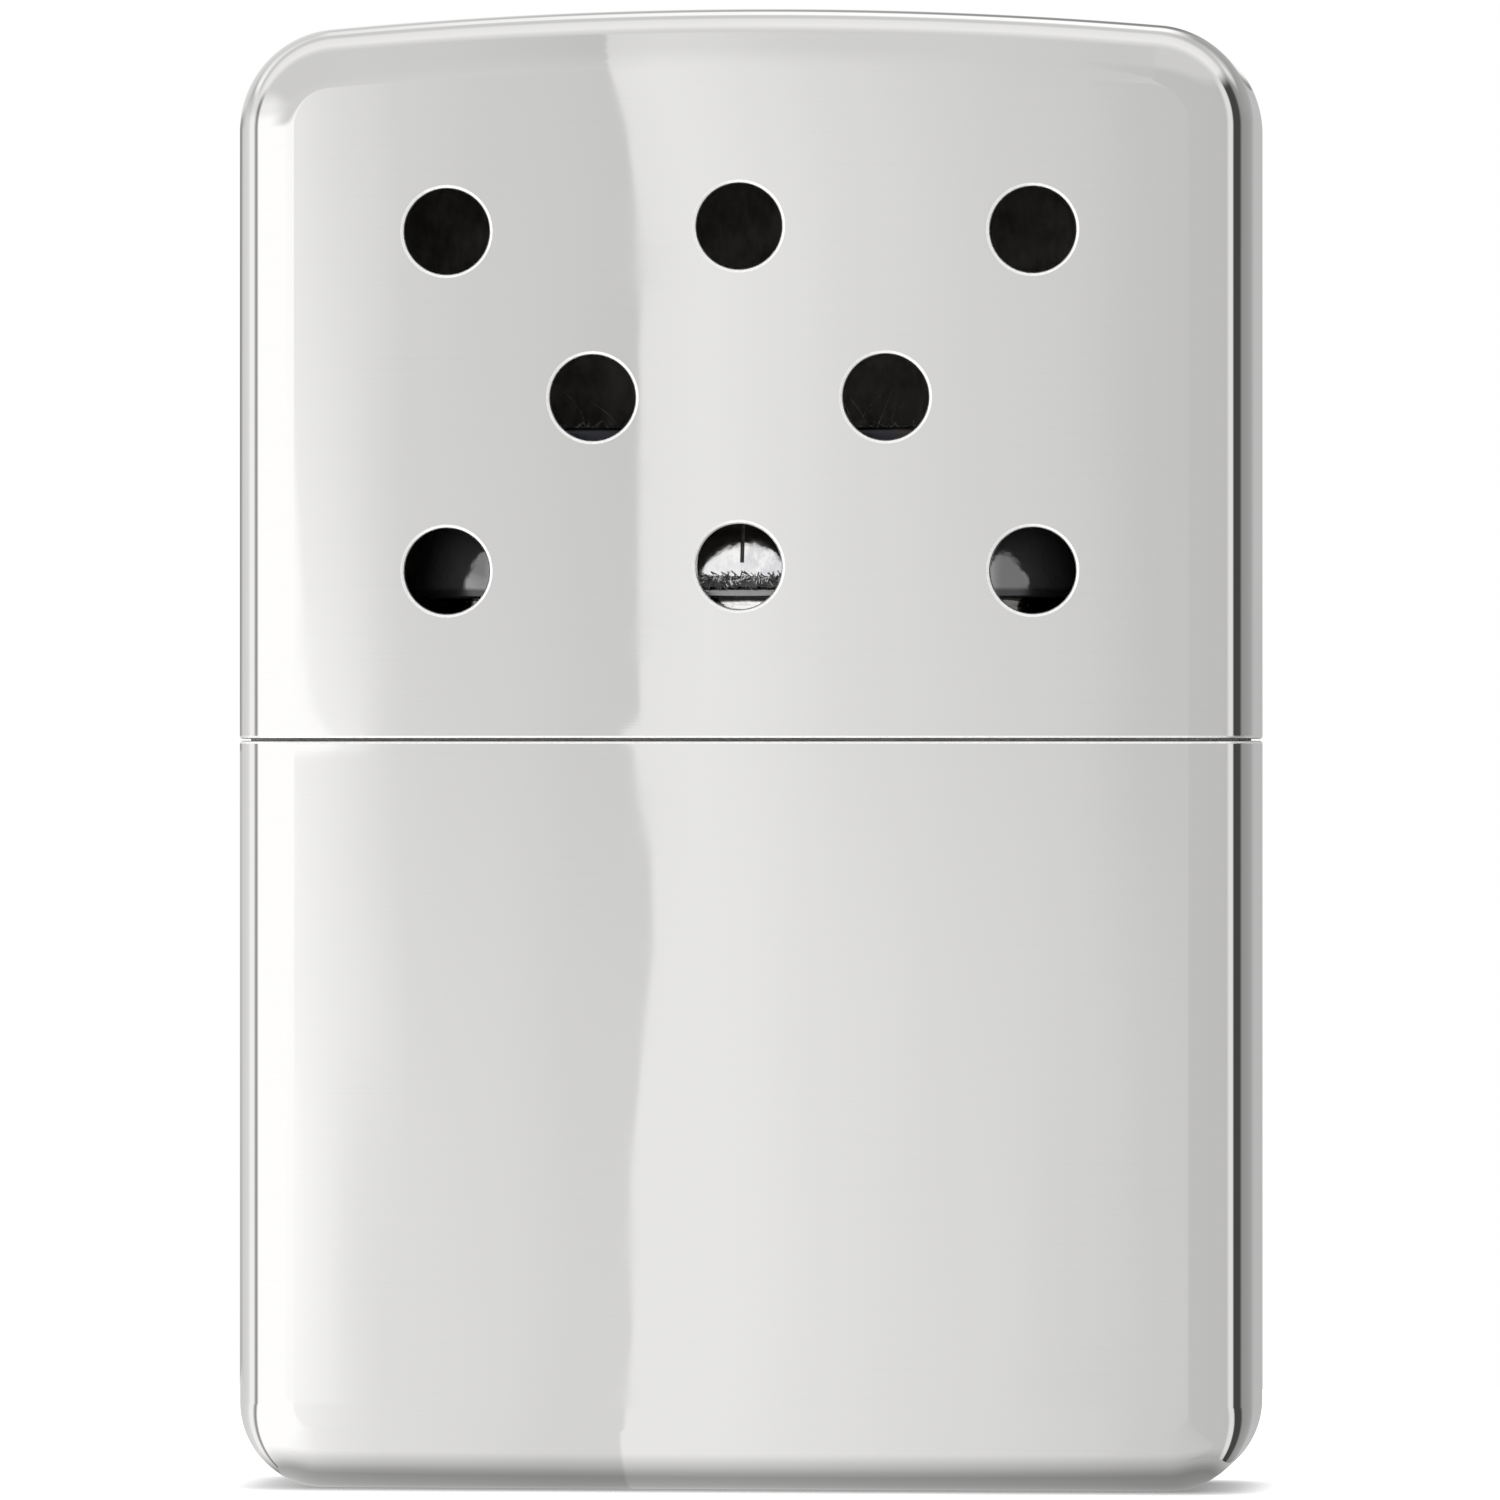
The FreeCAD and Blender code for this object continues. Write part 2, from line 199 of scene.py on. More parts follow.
def drawn_piece(name, body, materials, skin):
    """A piece in metres from a drawn skin, each face corner with its own shading normal."""
    # Adding nothing turns a minus nought into a nought, so the two are one spot
    points = np.round(np.array(skin.points), 5) + 0.0
    spots, index = np.unique(points, axis=0, return_inverse=True)
    index = index.reshape(-1)
    faces, corner_normals, slots = [], [], []
    for face, slot_number in zip(skin.faces, skin.slots):
        spot_ids = [int(index[i]) for i in face]
        keep = [k for k, spot in enumerate(spot_ids) if spot != spot_ids[k - 1]]
        if len(keep) < 3:
            continue
        faces.append([spot_ids[k] for k in keep])
        corner_normals += [tuple(skin.normals[face[k]]) for k in keep]
        slots.append(slot_number)
    mesh = bpy.data.meshes.new(name)
    mesh.from_pydata([tuple(spot * MM) for spot in spots], [], faces)
    for material in materials:
        mesh.materials.append(material)
    mesh.shade_smooth()
    mesh.polygons.foreach_set("material_index", slots)
    mesh.normals_split_custom_set(corner_normals)
    mesh.update()
    return carried(name, mesh, body)


class Skin:
    """Points, normals and faces gathered while a shell is drawn."""

    def __init__(self):
        self.points, self.normals, self.faces, self.slots = [], [], [], []

    def add(self, point, normal):
        """Adds a point with its outward normal and returns its index."""
        normal = np.asarray(normal, float)
        self.points.append(np.asarray(point, float))
        self.normals.append(normal / np.linalg.norm(normal))
        return len(self.points) - 1

    def face(self, corner_list, slot=OUTSIDE):
        """Adds a face whose corners run anticlockwise seen from outside."""
        self.faces.append(tuple(corner_list))
        self.slots.append(slot)

    def face_outwards(self, corner_list, slot=OUTSIDE):
        """Adds a face of three or four corners, turned the way its points' normals look."""
        spots = [self.points[i] for i in corner_list]
        across = np.cross(spots[2] - spots[0], spots[-1] - spots[1])
        outwards = sum(self.normals[i] for i in corner_list)
        self.face(corner_list if across @ outwards > 0 else tuple(reversed(corner_list)), slot)

    def join(self, first, second, slot=OUTSIDE, closed=True):
        """Joins two rows with equally many points by four-sided faces that look outwards."""
        count = len(first)
        for i in range(count if closed else count - 1):
            j = (i + 1) % count
            self.face_outwards((first[i], first[j], second[j], second[i]), slot)


def spread(start, end, step):
    """Evenly spread values from start to end, no further apart than step."""
    count = max(2, math.ceil(abs(end - start) / step) + 1)
    return np.linspace(start, end, count)


def outline_right_half(mouth, crown):
    """The right half of a case half's front outline, from its mouth to the middle of its closed end.

    Each entry is (x, z, normal x, normal z). The lid's closed end is the arched top, the tank's is the
    flat bottom.
    """
    is_lid = crown > mouth
    if is_lid:
        corner = TOP_CORNER_RADIUS
        corner_x = half_width - corner
        arch_centre = crown - TOP_ARCH_RADIUS
        corner_z = arch_centre + math.sqrt((TOP_ARCH_RADIUS - corner) ** 2 - corner_x ** 2)
        turn = math.pi / 2 - math.atan2(corner_x, corner_z - arch_centre)
    else:
        corner = BOTTOM_CORNER_RADIUS
        corner_x = half_width - corner
        corner_z = crown + corner
        turn = -math.pi / 2

    def arc(centre_x, centre_z, radius, turns):
        return [
            (centre_x + radius * math.cos(a), centre_z + radius * math.sin(a), math.cos(a), math.sin(a))
            for a in turns
        ]

    side = [(half_width, z, 1, 0) for z in spread(mouth, corner_z, PATH_STEP)[:-1]]
    bend = arc(corner_x, corner_z, corner, spread(0, turn, CORNER_STEP))
    if is_lid:
        turns = spread(turn, math.pi / 2, PATH_STEP / TOP_ARCH_RADIUS)[1:]
        closing = arc(0, arch_centre, TOP_ARCH_RADIUS, turns)
    else:
        closing = [(x, crown, 0, -1) for x in spread(corner_x, 0, PATH_STEP)[1:]]
    return side + bend + closing


def outline_path(mouth, crown):
    """The whole outline from the right of the mouth round the closed end to its left."""
    right = outline_right_half(mouth, crown)
    left = [(-x, z, -nx, nz) for x, z, nx, nz in reversed(right[:-1])]
    return right + left


def inside(points, ring):
    """Which points lie inside a closed ring, by counting the ring's sides to their right."""
    x, y = np.asarray(points, float).reshape(-1, 2).T
    odd = np.zeros(len(x), bool)
    for (ax, ay), (bx, by) in zip(ring, np.roll(ring, -1, axis=0)):
        if ay == by:
            continue
        spans = (ay > y) != (by > y)
        odd ^= spans & (x < (bx - ax) * (y - ay) / (by - ay) + ax)
    return odd


def fill_sheet(ring, holes, grid):
    """Triangles between a ring of flat points and the rings of its holes, over a grid of new points.

    Returns the new points, and the triangles. These count the ring's points first, then the holes', then
    the new ones.
    """
    loops = [np.array(loop, float) for loop in [ring] + list(holes)]
    edges = []
    start = 0
    for loop in loops:
        edges += [(start + i, start + (i + 1) % len(loop)) for i in range(len(loop))]
        start += len(loop)
    rims = np.concatenate(loops)
    spare = grid / 2
    low, high = rims.min(0) + spare, rims.max(0) - spare
    across, along = np.meshgrid(spread(low[0], high[0], grid), spread(low[1], high[1], grid))
    extra = np.stack([across.ravel(), along.ravel()], axis=1)
    far = np.linalg.norm(extra[:, None] - rims[None], axis=2).min(1) > spare
    kept = far & inside(extra, loops[0])
    for hole in loops[1:]:
        kept &= ~inside(extra, hole)
    extra = extra[kept]
    points = [Vector(point) for point in np.concatenate([rims, extra])]
    spots, _, triangles, *_ = delaunay_2d_cdt(points, edges, [], 0, 1e-7)
    middles = np.array([np.mean([spots[i] for i in triangle], axis=0) for triangle in triangles])
    kept = inside(middles, loops[0])
    for hole in loops[1:]:
        kept &= ~inside(middles, hole)
    return extra, [tuple(triangle) for triangle, keep in zip(triangles, kept) if keep]


def case_row(skin, x, z, nx, nz):
    """Points across the case's thickness at one place on its outline, from front to back."""
    row = []
    for roll in np.linspace(math.pi / 2, 0, ROLL_STEPS + 1):
        inset = EDGE_RADIUS * (1 - math.cos(roll))
        px, pz = x - inset * nx, z - inset * nz
        py = face_reach(px) - EDGE_RADIUS + EDGE_RADIUS * math.sin(roll)
        tilt = px / crown_radius
        normal = (math.cos(roll) * nx + math.sin(roll) * tilt, -math.sin(roll), math.cos(roll) * nz)
        row.append(((px, -py, pz), normal))
    edge = face_reach(x) - EDGE_RADIUS
    middle = [((x, share * edge, z), (nx, 0, nz)) for share in np.linspace(-1, 1, SIDE_STRIPS + 1)[1:-1]]
    back = [((p[0], -p[1], p[2]), (n[0], -n[1], n[2])) for p, n in reversed(row)]
    return [skin.add(p, n) for p, n in row + middle + back]


def case_face(skin, side, ring, mouth_xs, lip_start, vents):
    """The front or back face, inside the rolled edge. Returns its row at the mouth and its vents' rings."""
    def on_face(x, z):
        return skin.add((x, side * face_reach(x), z), (x / crown_radius, side, 0))

    def flat(row):
        return [(skin.points[i][0], skin.points[i][2]) for i in row]

    mouth_row = [on_face(x, lip_start) for x in mouth_xs]
    turns = np.linspace(0, 2 * math.pi, VENT_SIDES, endpoint=False)
    reach = VENT_RADIUS + VENT_ROLL
    holes = [
        [on_face(x + reach * math.cos(turn), z + reach * math.sin(turn)) for turn in turns]
        for x, z in vents
    ]
    extra, triangles = fill_sheet(flat(ring + mouth_row), [flat(hole) for hole in holes], FACE_GRID)
    known = ring + mouth_row + [i for hole in holes for i in hole] + [on_face(x, z) for x, z in extra]
    for triangle in triangles:
        skin.face_outwards(tuple(known[i] for i in triangle))
    return mouth_row, holes


def case_lip(skin, loop, inner, mouth, up):
    """The lip round a mouth: rounded outside, flat to the inner wall, which a sleeve joins to it.

    inner is how much further on a point's fellow on the inner skin is counted.
    """
    points = [skin.points[i] for i in loop]
    normals = [skin.normals[i] for i in loop]
    before = loop
    for turn in np.linspace(0, math.pi / 2, LIP_STEPS + 1)[1:]:
        sink = LIP_RADIUS * (1 - math.cos(turn))
        drop = np.array([0, 0, -up * LIP_RADIUS * math.sin(turn)])
        tip = np.array([0, 0, -up * math.sin(turn)])
        ring = [
            skin.add(point - sink * normal + drop, math.cos(turn) * normal + tip)
            for point, normal in zip(points, normals)
        ]
        skin.join(before, ring, EDGE if turn < LIP_BUFFED else INSIDE)
        before = ring
    down = np.array([0, 0, -up])
    flat_ring = [skin.add(skin.points[i], down) for i in before]
    inner_edge = [
        skin.add((point - CASE_WALL * normal) * (1, 1, 0) + (0, 0, mouth), down)
        for point, normal in zip(points, normals)
    ]
    skin.join(flat_ring, inner_edge, INSIDE)
    sleeve_low = [skin.add(skin.points[i], -normal) for i, normal in zip(inner_edge, normals)]
    sleeve_high = [skin.add(skin.points[inner + i], -normal) for i, normal in zip(loop, normals)]
    skin.join(sleeve_low, sleeve_high, INSIDE)


def case_vent(skin, x, z, loop, inner):
    """One vent: a rolled outer edge, then a straight bore to the inner skin."""
    before = loop
    for turn in np.linspace(0, math.pi / 2, VENT_ROLL_STEPS + 1)[1:]:
        reach = VENT_RADIUS + VENT_ROLL * (1 - math.sin(turn))
        depth = VENT_ROLL * (1 - math.cos(turn))
        ring = []
        for i in loop:
            spoke = (skin.points[i] - (x, 0, z)) * (1, 0, 1)
            spoke = spoke / np.linalg.norm(spoke)
            px, pz = x + reach * spoke[0], z + reach * spoke[2]
            normal = math.cos(turn) * skin.normals[i] - math.sin(turn) * spoke
            ring.append(skin.add((px, depth - face_reach(px), pz), normal))
        skin.join(before, ring, EDGE)
        before = ring
    bore_end = []
    for i in before:
        point = skin.points[i].copy()
        point[1] = CASE_WALL - face_reach(point[0])
        bore_end.append(skin.add(point, skin.normals[i]))
    skin.join(before, bore_end)
    burr = [skin.add(skin.points[i], (0, 1, 0)) for i in bore_end]
    skin.join(burr, [inner + i for i in loop], INSIDE)


def case_half(name, body, node, mouth, crown, vents):
    """One half of the case: a drawn shell with rolled edges, a rounded lip and, on the front, its vents."""
    skin = Skin()
    up = 1 if crown > mouth else -1
    lip_start = mouth + up * LIP_RADIUS
    rows = [case_row(skin, *place) for place in outline_path(lip_start, crown)]
    for before, after in zip(rows, rows[1:]):
        skin.join(before, after, closed=False)

    right, left = rows[0], rows[-1]
    mouth_xs = spread(skin.points[left[0]][0], skin.points[right[0]][0], PATH_STEP)[1:-1]
    front_row, holes = case_face(skin, -1, [row[0] for row in rows], mouth_xs, lip_start, vents)
    back_row, _ = case_face(skin, 1, [row[-1] for row in rows], mouth_xs, lip_start, [])

    # The inner skin is the outer one moved in by the wall
    inner = len(skin.points)
    for point, normal in list(zip(skin.points, skin.normals)):
        skin.add(point - CASE_WALL * normal, -normal)
    for face in list(skin.faces):
        skin.face([inner + i for i in reversed(face)], INSIDE)

    loop = front_row + right + list(reversed(back_row)) + list(reversed(left))
    case_lip(skin, loop, inner, mouth, up)
    for (x, z), hole in zip(vents, holes):
        case_vent(skin, x, z, hole, inner)
    piece = drawn_piece(name, body, [polished_plate(), dull_inside(), buffed_edge_highlight()], skin)
    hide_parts(node)
    return piece


# ---------------------------------------------------------------- burner

band_low, band_high = corners("burner_band")
band_radius = band_high.y
band_run = band_high.x - band_radius
band_quarter = math.pi / 2 * band_radius
band_girth = 4 * (band_quarter + band_run)
band_front = 0.75 * band_girth
slot_foot = band_low.z + BAND_LAP
lean_foot = slot_foot + BAND_SLOT_HEIGHT
lean_top = lean_foot + BAND_LEAN_HEIGHT


def around(distance, inset):
    """A place on the burner's stadium outline, moved in by inset, and its outward direction.

    distance is measured on the band's foot, from the right-hand end, anticlockwise seen from above.
    """
    side = -1 if distance >= band_girth / 2 else 1
    along = distance - band_girth / 2 if side < 0 else distance
    run_end = band_quarter + 2 * band_run
    turn = (min(along, band_quarter) + max(along - run_end, 0)) / band_radius
    middle = band_run - min(max(along - band_quarter, 0), 2 * band_run)
    nx, ny = side * math.cos(turn), side * math.sin(turn)
    reach = band_radius - inset
    return (side * middle + reach * nx, reach * ny), (nx, ny)


def lean(z):
    """How far the band has leaned in at height z, and how steeply, with an easy bend at both ends."""
    def share(rise):
        return min(1.0, max(0.0, rise / BAND_BEND + 0.5))

    def climb(rise):
        return share(rise) ** 2 * BAND_BEND / 2 + max(0.0, rise - BAND_BEND / 2)

    slope = BAND_LEAN / BAND_LEAN_HEIGHT
    since_foot, since_top = z - lean_foot, z - lean_top
    return slope * (climb(since_foot) - climb(since_top)), slope * (share(since_foot) - share(since_top))


def on_band(distance, z, depth=0.0):
    """A point at a depth below the band's outside, and the outward normal there."""
    inset, steep = lean(z)
    (x, y), (nx, ny) = around(distance, inset + depth)
    return (x, y, z), (nx, ny, steep)


def rolled_edge(skin, row, closed=False):
    """Rounds one of the band's edges from its outside to its inside.

    row gives the edge's flat places, moved into the band by an offset. Returns the flat places where the
    round starts, with their points.
    """
    rim, start = np.array(row(0.0)), np.array(row(BAND_ROLL))
    ends = [np.subtract(on_band(*a)[0], on_band(*b)[0]) for a, b in zip(rim, start)]
    quarter = np.linspace(0, math.pi / 2, BAND_ROLL_STEPS + 1)
    turns = [(turn, BAND_ROLL * (1 - math.cos(turn))) for turn in quarter]
    turns += [(math.pi - turn, BAND_WALL - depth) for turn, depth in reversed(turns)]
    rings = []
    for turn, depth in turns:
        ring = []
        for spot, out in zip(start + (rim - start) * math.sin(turn), ends):
            point, normal = on_band(*spot, depth)
            normal = np.asarray(normal) / np.linalg.norm(normal)
            out = out / np.linalg.norm(out)
            ring.append(skin.add(point, math.cos(turn) * normal + math.sin(turn) * out))
        rings.append(ring)
    for before, after in zip(rings, rings[1:]):
        skin.join(before, after, closed=closed)
    return list(zip(start.tolist(), rings[0]))


def cage_band():
    """The burner's wall: a polished strip with rolled edges, bent round the fibre and butted in front."""
    skin = Skin()
    foot, top = band_low.z, band_high.z
    seam_foot = lean_foot + BAND_SEAM_START
    slot_middle = slot_foot + BAND_SLOT_HEIGHT / 2

    def foot_row(offset):
        return [(u, foot + offset) for u in np.linspace(0, band_girth, BAND_SIDES + 1)]

    def top_row(offset):
        spare = BAND_SEAM_WIDTH / 2 + offset * BAND_SEAM_ROLL / BAND_ROLL
        left, right = band_front - spare, band_front + spare
        heights = np.linspace(top - offset, seam_foot - spare, SEAM_STEPS)
        before = [(u, top - offset) for u in np.linspace(0, left, BAND_SIDES * 3 // 4)[:-1]]
        after = [(u, top - offset) for u in np.linspace(right, band_girth, BAND_SIDES // 4)[1:]]
        return before + [(left, z) for z in heights] + [(right, z) for z in reversed(heights)] + after

    def slot_row(middle):
        def row(offset):
            radius = BAND_SLOT_HEIGHT / 2 + offset
            reach = (BAND_SLOT_LENGTH - BAND_SLOT_HEIGHT) / 2
            ends = np.linspace(-math.pi / 2, math.pi / 2, SLOT_END_STEPS + 1)
            right = middle + reach
            half = [(right + radius * math.cos(t), slot_middle + radius * math.sin(t)) for t in ends]
            over = np.linspace(reach, -reach, SLOT_STEPS)[1:-1]
            half += [(middle + x, slot_middle + radius) for x in over]
            return half + [(2 * middle - u, 2 * slot_middle - z) for u, z in half]
        return row

    foot_edge = rolled_edge(skin, foot_row)
    top_edge = rolled_edge(skin, top_row)
    slots = [
        rolled_edge(skin, slot_row(middle), closed=True)
        for middle in (band_front, band_girth - band_front)
    ]
    heights = spread(foot + BAND_ROLL, top - BAND_ROLL, BAND_GRID)[1:-1]
    far_end = [((band_girth, z), skin.add(*on_band(band_girth, z))) for z in heights]
    near_end = [((0.0, z), skin.add(*on_band(0.0, z))) for z in reversed(heights)]
    ring = foot_edge + far_end + list(reversed(top_edge)) + near_end
    known = ring + [place for slot in slots for place in slot]
    extra, triangles = fill_sheet(
        [spot for spot, _ in ring], [[spot for spot, _ in slot] for slot in slots], BAND_GRID)
    known += [(spot, skin.add(*on_band(*spot))) for spot in extra.tolist()]
    inner = []
    for spot, _ in known:
        point, normal = on_band(*spot, BAND_WALL)
        inner.append(skin.add(point, -np.asarray(normal)))
    for triangle in triangles:
        skin.face_outwards(tuple(known[i][1] for i in triangle))
        skin.face_outwards(tuple(inner[i] for i in triangle))
    piece = drawn_piece("cage_band", "burner", [tinted_strip()], skin)
    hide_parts("burner_band")
    return piece


def weld(mesh):
    """Merges points that lie in one place, which closes a mesh's seams and poles."""
    mesh_maker = bmesh.new()
    mesh_maker.from_mesh(mesh)
    bmesh.ops.remove_doubles(mesh_maker, verts=mesh_maker.verts, dist=MM / 1000)
    mesh_maker.to_mesh(mesh)
    mesh_maker.free()


def soft_piece(name, body, material, points, faces):
    """A smoothly shaded piece in metres from points in millimetres."""
    mesh = bpy.data.meshes.new(name)
    mesh.from_pydata([tuple(np.asarray(point) * MM) for point in points], [], faces)
    weld(mesh)
    mesh.materials.append(material)
    mesh.shade_smooth()
    return carried(name, mesh, body)


def wrapped(profile, step):
    """Rings round the burner's outline through a profile of (inset, height), joined by faces."""
    distances = spread(0, band_girth, step)[:-1]
    rings = []
    for inset, z in profile:
        rings.append([(*around(distance, inset)[0], z) for distance in distances])
    count = len(distances)
    points = [point for ring in rings for point in ring]
    faces = []
    for row in range(len(rings) - 1):
        for i in range(count):
            j = (i + 1) % count
            faces.append((row * count + i, (row + 1) * count + i, (row + 1) * count + j, row * count + j))
    return np.array(points), faces, distances


def weave(u, v):
    """The height of a plain weave, from 0 in its pores to 1 on its crowns."""
    warp, weft = u / WEAVE_PITCH, v / WEAVE_PITCH
    over = np.where((np.floor(warp) + np.floor(weft)) % 2 > 0, 1.0, -1.0)
    wave = np.abs(np.sin(math.pi * warp)) * np.abs(np.sin(math.pi * weft)) * over
    warp_height = np.abs(np.sin(math.pi * warp)) ** 0.6 * (0.5 + 0.5 * wave)
    weft_height = np.abs(np.sin(math.pi * weft)) ** 0.6 * (0.5 - 0.5 * wave)
    return np.maximum(warp_height, weft_height)


def cover_profile(inset, hem, top, corner, grid):
    """A cover's section from the middle of its top, over a rounded edge and down to its hem."""
    def side_inset(z):
        return inset + lean(z)[0]

    edge = side_inset(top)
    flat = [(x, top) for x in spread(band_radius, edge + corner, grid)[:-1]]
    bend = [
        (edge + corner * (1 - math.sin(t)), top - corner * (1 - math.cos(t)))
        for t in spread(0, math.pi / 2, grid / corner)
    ]
    side = [(side_inset(z), z) for z in spread(top - corner, hem, grid)[1:]]
    return flat + bend + side


def glass_cover():
    """The woven cover: one glass cloth stretched over the wool's top and sides, with a ragged hem."""
    low, high = corners("catalyst_cloth")
    profile = cover_profile(COVER_INSET, low.z, high.z - WEAVE_HEIGHT, COVER_CORNER, COVER_GRID)
    points, faces, distances = wrapped(profile, COVER_GRID)
    count = len(distances)
    on_top = points[:, 2] > high.z - WEAVE_HEIGHT - COVER_CORNER / 2
    along = np.tile(distances, len(profile))
    relief = np.where(on_top, weave(points[:, 0], points[:, 1]), weave(along, points[:, 2])) * WEAVE_HEIGHT
    outwards = np.array([[*around(distance, 0)[1], 0] for distance in distances])
    outwards = np.where(on_top[:, None], (0, 0, 1), np.tile(outwards, (len(profile), 1)))
    points = points + outwards * (relief[:, None] - np.where(on_top, 0, WEAVE_HEIGHT)[:, None])
    chance = np.random.default_rng(HEM_SEED)
    points[-count:, 2] += chance.uniform(*HEM_RAGGED, count)
    piece = soft_piece("glass_cover", "burner", woven_glass(), points, faces)
    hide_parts("catalyst_cloth")
    edge = COVER_INSET + BAND_LEAN
    drop = high.z - low.z
    width, depth = 2 * (band_high.x - edge + drop) * MM, 2 * (band_radius - edge + drop) * MM
    top_area = 4 * band_run * (band_radius - edge) + math.pi * (band_radius - edge) ** 2
    area = (top_area + drop * (band_girth - 2 * math.pi * edge)) * MM ** 2
    return piece, (width, depth), area


def wool_pad():
    """The pad of coated wool inside the cover: crowned, with softly uneven sides."""
    low, high = corners("catalyst_wool")
    edge = band_high.y - high.y
    middle = (low.z + high.z) / 2
    upper = cover_profile(0.0, middle, high.z, WOOL_CORNER, WOOL_GRID)
    section = []
    for inset, z in upper:
        leaned = lean(z)[0]
        section.append((edge + (inset - leaned) * (band_radius - edge) / (band_radius - leaned), z))
    lower = [(inset, 2 * middle - z) for inset, z in reversed(section[:-1])]
    points, faces, _ = wrapped(section + lower, WOOL_GRID)
    for point in points:
        shift = noise.noise(Vector(point) * WOOL_LUMP_SIZE) * WOOL_LUMPS - WOOL_LUMPS
        centre = Vector((max(-band_run, min(band_run, point[0])), 0, middle))
        out = (Vector(point) - centre).normalized()
        point += np.array(out) * shift
    piece = soft_piece("wool_pad", "burner", coated_wool(), points, faces)
    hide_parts("catalyst_wool")
    return piece


def packed_cotton():
    """Loose cotton packed against the tank's walls, softly lumpy all over."""
    name = "fuel_cotton"
    source = bpy.data.meshes.new_from_object(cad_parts[name])
    weld(source)
    block = add_object("cotton_block", source)
    remesh = block.modifiers.new("even", "REMESH")
    remesh.mode = "VOXEL"
    remesh.voxel_size = COTTON_GRID * MM
    mesh = applied(block)
    points = np.array([vertex.co for vertex in mesh.vertices]) / MM
    normals = np.array([vertex.normal for vertex in mesh.vertices])
    for i, point in enumerate(points):
        large, small = (noise.noise(Vector(point) * size) for size in COTTON_LUMP_SIZES)
        points[i] += normals[i] * (COTTON_LUMPS * (large + 0.5 * small) - COTTON_SUNK)
    faces = [tuple(polygon.vertices) for polygon in mesh.polygons]
    bpy.data.meshes.remove(mesh)
    piece = soft_piece("packed_cotton", "tank", loose_cotton(), points, faces)
    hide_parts(name)
    return piece


# ---------------------------------------------------------------- loose fibres

def fibre_tree():
    """A node tree that scatters bent fibres over a surface, each leaning its own way."""
    tree = bpy.data.node_groups.new("loose_fibres", "GeometryNodeTree")
    sizes = {"Density": 1.0, "Length": MM, "Thickness": MM / 100, "Curl": 0.5, "Lean": 1.0}
    tree.interface.new_socket("Surface", in_out="INPUT", socket_type="NodeSocketGeometry")
    for title, value in sizes.items():
        socket = tree.interface.new_socket(title, in_out="INPUT", socket_type="NodeSocketFloat")
        socket.default_value = value
    tree.interface.new_socket("Seed", in_out="INPUT", socket_type="NodeSocketInt")
    tree.interface.new_socket("Finish", in_out="INPUT", socket_type="NodeSocketMaterial")
    tree.interface.new_socket("Fibres", in_out="OUTPUT", socket_type="NodeSocketGeometry")

    def node(kind, settings=None, inputs=None):
        made = tree.nodes.new(kind)
        for key, value in (settings or {}).items():
            setattr(made, key, value)
        for key, value in (inputs or {}).items():
            if isinstance(value, bpy.types.NodeSocket):
                tree.links.new(value, made.inputs[key])
            else:
                made.inputs[key].default_value = value
        return made

    given = node("NodeGroupInput").outputs

    def scaled(value, factor):
        return node("ShaderNodeMath", {"operation": "MULTIPLY"}, {0: value, 1: factor}).outputs[0]

    def vector(x=0.0, y=0.0, z=0.0):
        return node("ShaderNodeCombineXYZ", None, {0: x, 1: y, 2: z}).outputs[0]

    bend = scaled(given["Length"], given["Curl"])
    spine = node("GeometryNodeCurveQuadraticBezier", None, {
        "Resolution": FIBRE_BENDS,
        "Start": (0, 0, 0),
        "Middle": vector(scaled(bend, -0.5), 0.0, scaled(given["Length"], 0.5)),
        "End": vector(bend, 0.0, given["Length"]),
    })
    ring = node("GeometryNodeCurvePrimitiveCircle", None, {
        "Resolution": FIBRE_SIDES, "Radius": given["Thickness"],
    })
    fibre = node("GeometryNodeCurveToMesh", None, {
        "Curve": spine.outputs[0], "Profile Curve": ring.outputs[0], "Fill Caps": True,
    })
    scatter = node("GeometryNodeDistributePointsOnFaces", None, {
        "Mesh": given["Surface"], "Density": given["Density"], "Seed": given["Seed"],
    })

    def chance(low, high, seed):
        settings = {"data_type": "FLOAT"}
        return node("FunctionNodeRandomValue", settings, {2: low, 3: high, 8: seed}).outputs[1]

    def turned(rotation, turn):
        settings = {"rotation_space": "LOCAL"}
        return node("FunctionNodeRotateRotation", settings, {0: rotation, 1: turn}).outputs[0]

    spin = chance(0.0, 2 * math.pi, given["Seed"])
    tip = chance(0.0, given["Lean"], scaled(given["Seed"], 3.0))
    size = chance(SHORTEST_FIBRE, 1.0, scaled(given["Seed"], 7.0))
    spun = turned(scatter.outputs["Rotation"], vector(0.0, 0.0, spin))
    placed = node("GeometryNodeInstanceOnPoints", None, {
        "Points": scatter.outputs["Points"], "Instance": fibre.outputs[0],
        "Rotation": turned(spun, vector(tip, 0.0, 0.0)), "Scale": size,
    })
    real = node("GeometryNodeRealizeInstances", None, {0: placed.outputs[0]})
    done = node("GeometryNodeSetMaterial", None, {"Geometry": real.outputs[0], "Material": given["Finish"]})
    node("NodeGroupOutput", None, {0: done.outputs[0]})
    return tree


